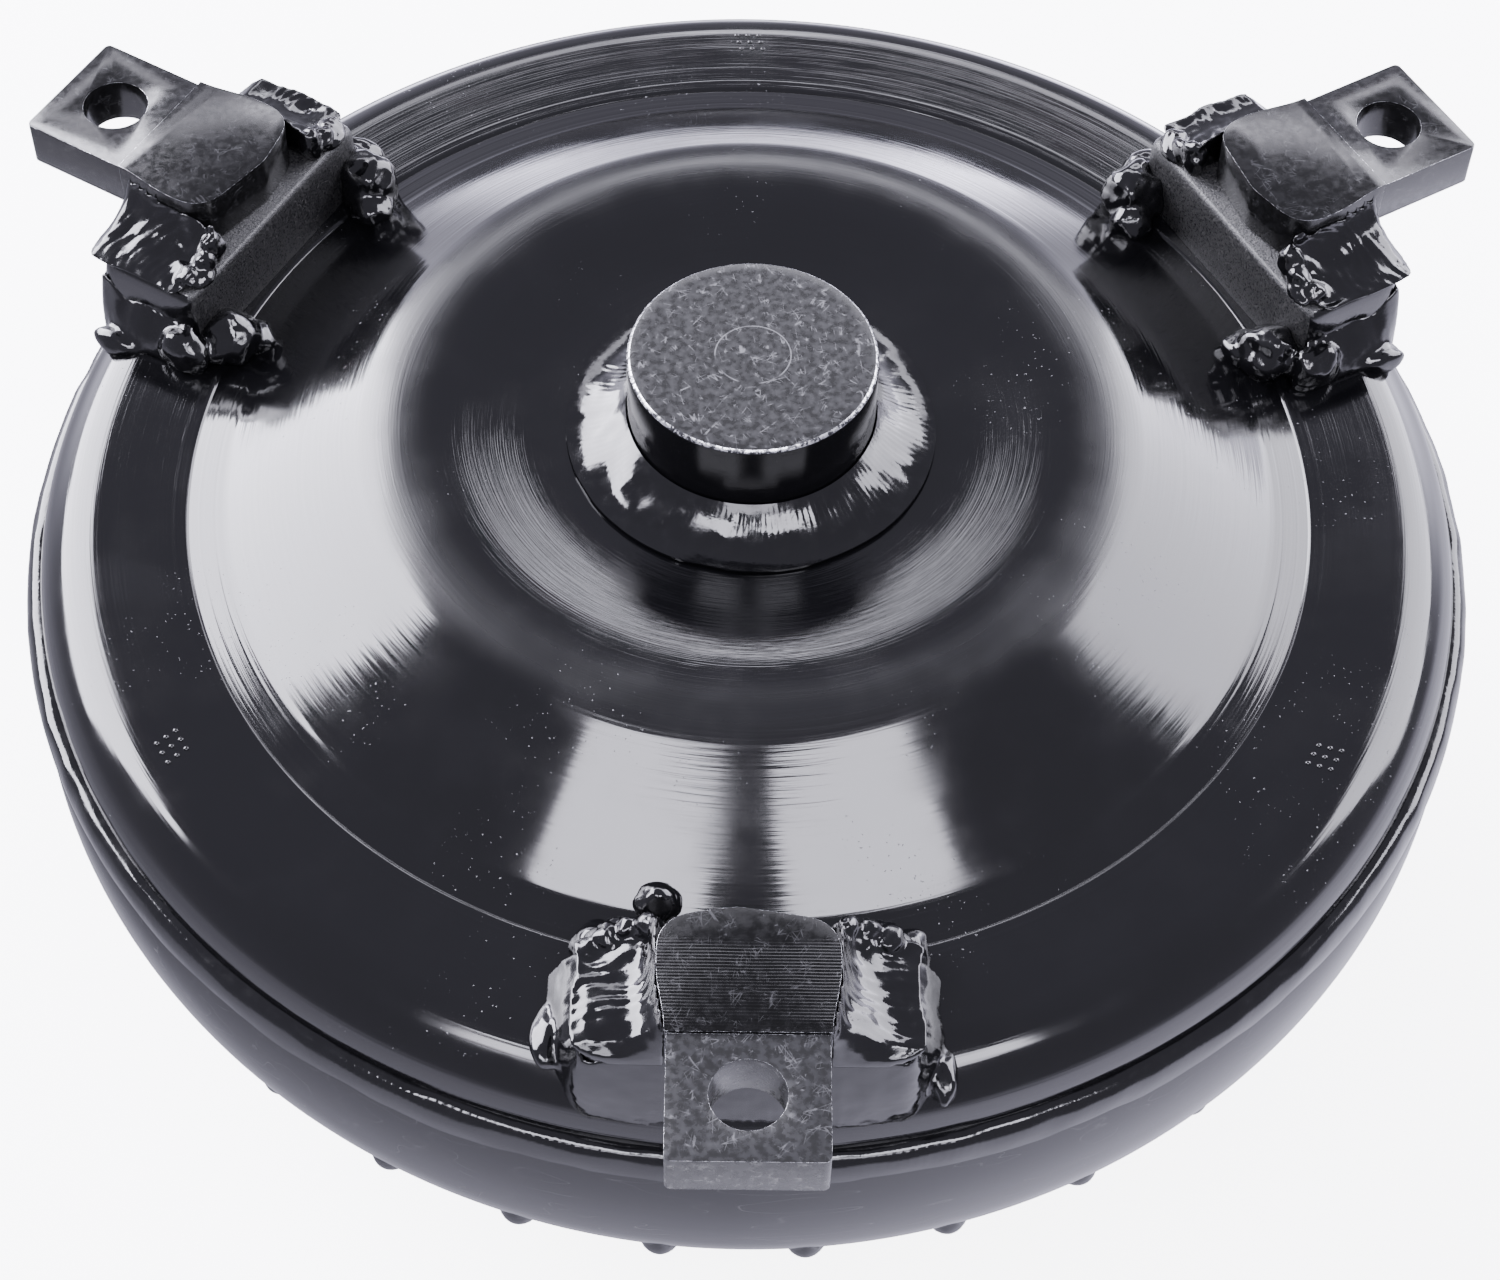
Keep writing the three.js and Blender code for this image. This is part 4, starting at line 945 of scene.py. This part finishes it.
# [outwards, left, rise over the cover, size] of each lump, as the lug is seen from the axis outwards
LUMPS = {
    1: [(98.5, -24, 2.2, (4.6, 4.6, 5.2)), (91.5, -14.5, 2.2, (3.4, 4.0, 4.2)),
        (97.5, -11, 0.8, (2.6, 4.2, 1.6)), (99.5, 25, 2.2, (4.2, 4.4, 5.0)),
        (119, 31.2, 1.2, (4.8, 2.4, 3.2)), (114, -31.5, 1, (6, 3, 2.6))],
    2: [(97.5, -21.5, 3.2, (5.6, 5.4, 6.4)), (94.5, -18, 1.0, (4.2, 3.6, 3.2)),
        (98, 23.5, 3.6, (5.8, 5.4, 6.6)), (94.5, 19, 1.2, (4.0, 4.4, 3.6)),
        (103, 28.5, 2.6, (5, 3.4, 5)), (103, -28.5, 2.6, (5, 3.4, 5)), (117, -31, 1, (5, 2.6, 2.8))],
    3: [(97.5, 21.5, 3.2, (5.6, 5.4, 6.0)), (94.5, 18.5, 1.0, (4.2, 3.6, 3.2)),
        (98, -23.5, 3.6, (5.8, 5.4, 6.6)), (94.5, -19.5, 1.2, (4.0, 4.2, 3.6)),
        (103, -28.5, 2.6, (5, 3.4, 5)), (103, 28.5, 2.6, (5, 3.4, 5)), (117, 31, 1, (5, 2.6, 2.8))],
}

for index, angle in enumerate(LUG_ANGLES):
    number = index + 1
    skins = (MILLED_STEEL, PAD_STEEL) if number == 1 else (LUG_STEEL, LUG_STEEL)
    bar = turn_to(mounting_lug(number, *skins), angle)
    finish_piece(bar, [], "worn_black_steel", f"mounting_lug_{number}")
    finish_piece(turn_to(lug_base(number), angle), [], "black_paint", f"lug_base_{number}")
    for side, word in ((1, "left"), (-1, "right")):
        bead = turn_to(lug_weld(number, side, 40 * number + side), angle)
        finish_piece(bead, [WELD_PAINT], "painted_weld", f"lug_weld_{number}_{word}")
    bead = turn_to(base_weld(number, LUMPS[number], 70 * number), angle)
    finish_piece(bead, [WELD_PAINT], "painted_weld", f"base_weld_{number}")


# ---------- impeller shell, rim weld, pump drive hub ----------

def impeller_shell():
    """Deep-drawn shell with a pressed dimple for each fin."""
    seat_inside = SHELL_SEAT_Z + SHELL_WALL
    centre = (SHELL_CENTRE_RADIUS, TORUS_Z)
    coarse = arc(centre, SHELL_ARC, SHELL_ARC_END, DIMPLE_ANGLE - 0.14, 34)
    close = arc(centre, SHELL_ARC, DIMPLE_ANGLE - 0.14, DIMPLE_ANGLE + 0.14, 22)
    upper = arc(centre, SHELL_ARC, DIMPLE_ANGLE + 0.14, 0, 12)
    outline = [[HUB_RADIUS + TOUCH, SHELL_SEAT_Z], [45, SHELL_SEAT_Z],
               [SHELL_SEAT_RADIUS - 2, SHELL_SEAT_Z - 0.1]]
    outline += coarse + close[1:] + upper[1:]
    outline += [[SHELL_RADIUS, LIP_Z - 0.5], [SHELL_RADIUS - 0.5, LIP_Z], [COVER_RADIUS + TOUCH, LIP_Z]]
    outline += [[COVER_RADIUS + TOUCH, COVER_END_Z - TOUCH], [SHELL_RADIUS - SHELL_WALL, COVER_END_Z - TOUCH]]
    outline += arc(centre, SHELL_ARC - SHELL_WALL, 0, SHELL_ARC_END, 24)
    outline += [[SHELL_SEAT_RADIUS + 1.5, seat_inside], [HUB_RADIUS + TOUCH, seat_inside]]
    step = TURN / DIMPLE_COUNT
    inside = np.linspace(-0.5, 0.5, 27)[:-1]
    shares = np.sign(inside) * (np.abs(inside) * 2) ** 1.7 / 2
    angles = [DIMPLE_START + (i + share) * step for i in range(DIMPLE_COUNT) for share in shares]

    def dimples(radius, height, angle):
        from_centre = np.hypot(radius - centre[0], height - centre[1])
        place = np.arctan2(height - centre[1], radius - centre[0])
        turned = (angle - DIMPLE_START) / step
        across = (turned - np.round(turned)) * step * radius
        down = (place - DIMPLE_ANGLE) * SHELL_ARC
        far = np.hypot(across, down) / DIMPLE_RADIUS
        rise = DIMPLE_RISE * np.clip(1 - far**2, 0, 1) ** 0.8 * (from_centre > SHELL_ARC - 0.5)
        return radius + rise * np.cos(place), height + rise * np.sin(place)

    return lathe("impeller_shell_skin", outline, np.array(angles), dimples, sharp=50)


def rim_weld():
    """Bead between the cover's wall and the shell's lip, with a wandering lower edge."""
    t = np.linspace(0, 1, 18)
    top_radius, top = COVER_RADIUS + 0.02, LIP_Z + 5.0
    face_r = top_radius + (RIM_WELD_RADIUS - 0.3 - top_radius) * np.sin(t * math.pi / 2) ** 0.75
    face_z = top - 0.9 - (top - 0.9 - LIP_Z + 1.2) * t**1.9
    outline = [[COVER_RADIUS + 0.02, LIP_Z + 0.15], *np.stack([face_r, face_z], 1).tolist(),
               [SHELL_RADIUS + 0.03, LIP_Z - 1.3], [SHELL_RADIUS + 0.03, LIP_Z + 0.1]]
    total = len(outline)
    share = np.zeros(total)
    share[1 : len(t) + 1] = t
    share[len(t) + 1] = 1

    def ripple(radius, height, angle):
        ring = np.stack([np.cos(angle), np.sin(angle), 0 * angle], -1) * 130
        place = np.stack([ring[..., 0], ring[..., 1], height], -1)
        part = share[:, None]
        edge = 0.75 * noise(ring, 11, 21) + 0.35 * noise(ring, 4, 22)
        scales = np.sin(angle * 560 + 4 * part**2 + 3 * noise(ring, 15, 23))
        strength = np.clip(0.25 + noise(ring, 30, 24), 0, 1)
        mid = np.sin(part * math.pi)
        lift = mid * (0.07 * scales * strength + 0.16 * noise(place, 5, 25))
        moved = height + part**2 * edge + lift
        return np.clip(radius + lift, None, RIM_WELD_RADIUS), moved

    return lathe("rim_weld_bead", outline, 1500, ripple, sharp=60)


def impeller_hub():
    """Pump drive hub: ground sleeve with two drive slots, on a flange inside the shell."""
    seat = SHELL_SEAT_Z + SHELL_WALL + TOUCH
    outline = [[HUB_BORE + 0.5, FLOOR_Z], [HUB_RADIUS - 1, FLOOR_Z], [HUB_RADIUS - 0.25, FLOOR_Z + 1.1],
               [HUB_RADIUS, FLOOR_Z + 1.5], [HUB_RADIUS, seat], [HUB_FLANGE_RADIUS, seat],
               [HUB_FLANGE_RADIUS, HUB_FLANGE_TOP - 0.4], [HUB_FLANGE_RADIUS - 0.4, HUB_FLANGE_TOP],
               [HUB_BORE + 0.4, HUB_FLANGE_TOP], [HUB_BORE, HUB_FLANGE_TOP - 0.4], [HUB_BORE, FLOOR_Z + 0.5]]
    piece = lathe("impeller_hub_sleeve", outline, 128)
    half = HUB_SLOT_WIDTH / 2
    reach = HUB_RADIUS * 1.5
    slot = [[-half, -reach], [half, -reach], [half, reach], [-half, reach]]
    combine(piece, prism("slot", slot, FLOOR_Z - 5, FLOOR_Z + HUB_SLOT_DEPTH), "DIFFERENCE")
    bevel = piece.modifiers.new("edges", "BEVEL")
    bevel.limit_method = "ANGLE"
    bevel.angle_limit = math.radians(50)
    bevel.width = 0.25 * MM
    bevel.segments = 2
    return settle(piece)


def hub_weld():
    """Bead between the hub and the shell's flat middle."""
    turn = np.linspace(0, math.pi / 2, 14)
    width = HUB_WELD_RADIUS - HUB_RADIUS - 0.05
    face_r = HUB_WELD_RADIUS - 0.3 - (width - 0.3) * np.sin(turn)
    face_z = SHELL_SEAT_Z - 0.8 - 5 * (1 - np.cos(turn))
    outline = [[HUB_WELD_RADIUS - 0.3, SHELL_SEAT_Z - 0.05], *np.stack([face_r, face_z], 1).tolist(),
               [HUB_RADIUS + 0.05, SHELL_SEAT_Z - 0.05]]

    def ripple(radius, height, angle):
        place = np.stack([radius * np.cos(angle), radius * np.sin(angle), height], -1)
        part = np.clip((radius - HUB_RADIUS) / width, 0, 1)
        ripples = 0.09 * np.sin(angle * 110 + 5 * part**2)
        lift = np.sin(part * math.pi) * (ripples + 0.25 * noise(place, 5, 31))
        return radius + 0.5 * lift, height - lift

    return lathe("hub_weld_bead", outline, 480, ripple, sharp=60)


finish_piece(impeller_shell(), [SHELL_PAINT], "black_paint", "impeller_shell")
finish_piece(rim_weld(), [WELD_PAINT], "painted_weld", "rim_weld")
finish_piece(impeller_hub(), [TURNED_STEEL], "machined_steel", "impeller_hub")
finish_piece(hub_weld(), [WELD_PAINT], "painted_weld", "hub_weld")


# ---------- inner pieces keep their CAD shapes ----------

for part in frame["record"]["subparts"]:
    for socket in frame["nodes"][part["node"]].material_slots:
        socket.link = "OBJECT"
        socket.material = CAD_MATERIALS[part["material_slot"]]


# ---------- floor, light and camera ----------

FLOOR_SIZE = 6.0  # metres from the middle to each side
FLOOR_GLOW = 5.0
LIGHT_DISTANCE = 2.4
LIGHT_TINT = (0.96, 0.95, 1.07)
GLOW_TINT = (0.93, 0.91, 1.12)
ROOM_GLOW = 0.6
FRONT_SHEEN = 1.5
RIGHT_SHEEN = 2.2
LOW_SHEEN = 0.25
# azimuth, elevation and spread in degrees, and brightness
HALOS = [(-14, -15, 7, 8), (14, -15, 7, 12), (0, -18, 6, 4), (-38, 3, 14, 5), (42, 4, 14, 8)]
# name, azimuth, elevation, width and height in degrees, brightness, and tilt in degrees
SOFTBOXES = [
    ("left_light", -57, 27, 46, 38, 34),
    ("right_light", 58, 27, 48, 34, 15),
    ("back_left_light", -12, 34, 26, 10, 6.5, -25),
    ("back_right_light", 13, 34, 28, 10, 8.5, 25),
    ("front_low_light", 180, 43, 34, 10, 12),
    ("front_left_light", -151, 56, 22, 14, 24),
    ("front_right_light", 150, 56, 22, 14, 22),
]
LENS = 77.9
SENSOR_WIDTH = 36
CAMERA_AZIMUTH = math.radians(-1.01)
CAMERA_ELEVATION = math.radians(53.64)
CAMERA_ROLL = math.radians(1.57)
CAMERA_DISTANCE = 0.53094
CAMERA_TARGET = (-0.11, -52.82, LUG_Z)


def floor():
    size, z = FLOOR_SIZE, FLOOR_Z * MM
    corners = [(-size, -size, z), (size, -size, z), (size, size, z), (-size, size, z)]
    mesh = bpy.data.meshes.new("floor")
    mesh.from_pydata(corners, [], [(0, 1, 2, 3)])
    piece = add("floor", mesh)
    material = new_material("pale_floor", (0.82, 0.82, 0.83), 0.7)
    shader = material.node_tree.nodes["Principled BSDF"]
    shader.inputs["Emission Color"].default_value = (1, 1, 1, 1)
    shader.inputs["Emission Strength"].default_value = FLOOR_GLOW
    mesh.materials.append(material)
    piece.visible_glossy = False  # the gloss shows the darker studio instead


def direction(azimuth, elevation):
    """Unit vector; azimuth is measured from +Y towards +X, in degrees."""
    a, e = math.radians(azimuth), math.radians(elevation)
    return Vector((math.sin(a) * math.cos(e), math.cos(a) * math.cos(e), math.sin(e)))


def softbox(name, azimuth, elevation, wide, high, radiance, tilt=0):
    """Rectangular soft light, sized by the angles it fills from the part. A tilt lifts its right end."""
    light = bpy.data.lights.new(name, "AREA")
    light.shape = "RECTANGLE"
    light.size = 2 * LIGHT_DISTANCE * math.tan(math.radians(wide / 2))
    light.size_y = 2 * LIGHT_DISTANCE * math.tan(math.radians(high / 2))
    light.energy = radiance * math.pi * light.size * light.size_y
    light.color = LIGHT_TINT
    lamp = add(name, light)
    way = direction(azimuth, elevation)
    lamp.location = way * LIGHT_DISTANCE
    turned = way.to_track_quat("Z", "Y").to_matrix() @ Matrix.Rotation(math.radians(-tilt), 3, "Z")
    lamp.rotation_euler = turned.to_euler()
    lamp.visible_camera = False


class Sky(Tree):
    """Brightness of the room by direction, built up from soft parts."""

    def __init__(self, world):
        world.use_nodes = True
        super().__init__(world)
        self.way = self.tree.nodes.new("ShaderNodeTexCoord").outputs["Generated"]
        parts = self.tree.nodes.new("ShaderNodeSeparateXYZ")
        self.link(self.way, parts.inputs[0])
        self.x, self.y, self.z = parts.outputs

    def halo(self, azimuth, elevation, spread, peak):
        """Round glow that falls to a third of its peak at an angle of its spread."""
        node = self.tree.nodes.new("ShaderNodeVectorMath")
        node.operation = "DOT_PRODUCT"
        node.inputs[1].default_value = direction(azimuth, elevation)
        self.link(self.way, node.inputs[0])
        tight = 1 / (1 - math.cos(math.radians(spread)))
        fall = self.math("MULTIPLY_ADD", node.outputs["Value"], tight, -tight)
        return self.math("MULTIPLY", self.math("EXPONENT", fall), peak)

    def ground(self):
        """The floor's sheen: brighter in front and on the right, darker below and behind."""
        front = self.math("MAXIMUM", self.math("MULTIPLY", self.y, -FRONT_SHEEN), 0.0)
        right = self.math("MAXIMUM", self.math("MULTIPLY", self.x, RIGHT_SHEEN), 0.0)
        return self.math("ADD", self.math("ADD", front, right), LOW_SHEEN)


def studio():
    """A dark room over a grey floor, with soft lights round the part."""
    world = bpy.data.worlds.new("studio")
    sky = Sky(world)
    below = sky.ramp(sky.z, -0.3, -0.02, 1.0, 0.0)
    glow = sky.math("ADD", sky.math("MULTIPLY", below, sky.ground()), ROOM_GLOW)
    for halo in HALOS:
        glow = sky.math("ADD", glow, sky.halo(*halo))
    background = sky.tree.nodes["Background"]
    sky.link(glow, background.inputs["Strength"])
    background.inputs["Color"].default_value = (*GLOW_TINT, 1)
    bpy.context.scene.world = world
    for light in SOFTBOXES:
        softbox(*light)


def camera():
    data = bpy.data.cameras.new("camera")
    data.lens, data.sensor_width = LENS, SENSOR_WIDTH
    data.clip_start, data.clip_end = 0.01, 50
    eye = add("camera", data)
    back = Vector((math.sin(CAMERA_AZIMUTH) * math.cos(CAMERA_ELEVATION),
                   -math.cos(CAMERA_AZIMUTH) * math.cos(CAMERA_ELEVATION), math.sin(CAMERA_ELEVATION)))
    eye.location = Vector(CAMERA_TARGET) * MM + back * CAMERA_DISTANCE
    level = (-back).to_track_quat("-Z", "Y").to_matrix()
    eye.rotation_euler = (level @ Matrix.Rotation(CAMERA_ROLL, 3, "Z")).to_euler()
    bpy.context.scene.camera = eye


floor()
studio()
camera()

bpy.context.view_layer.update()
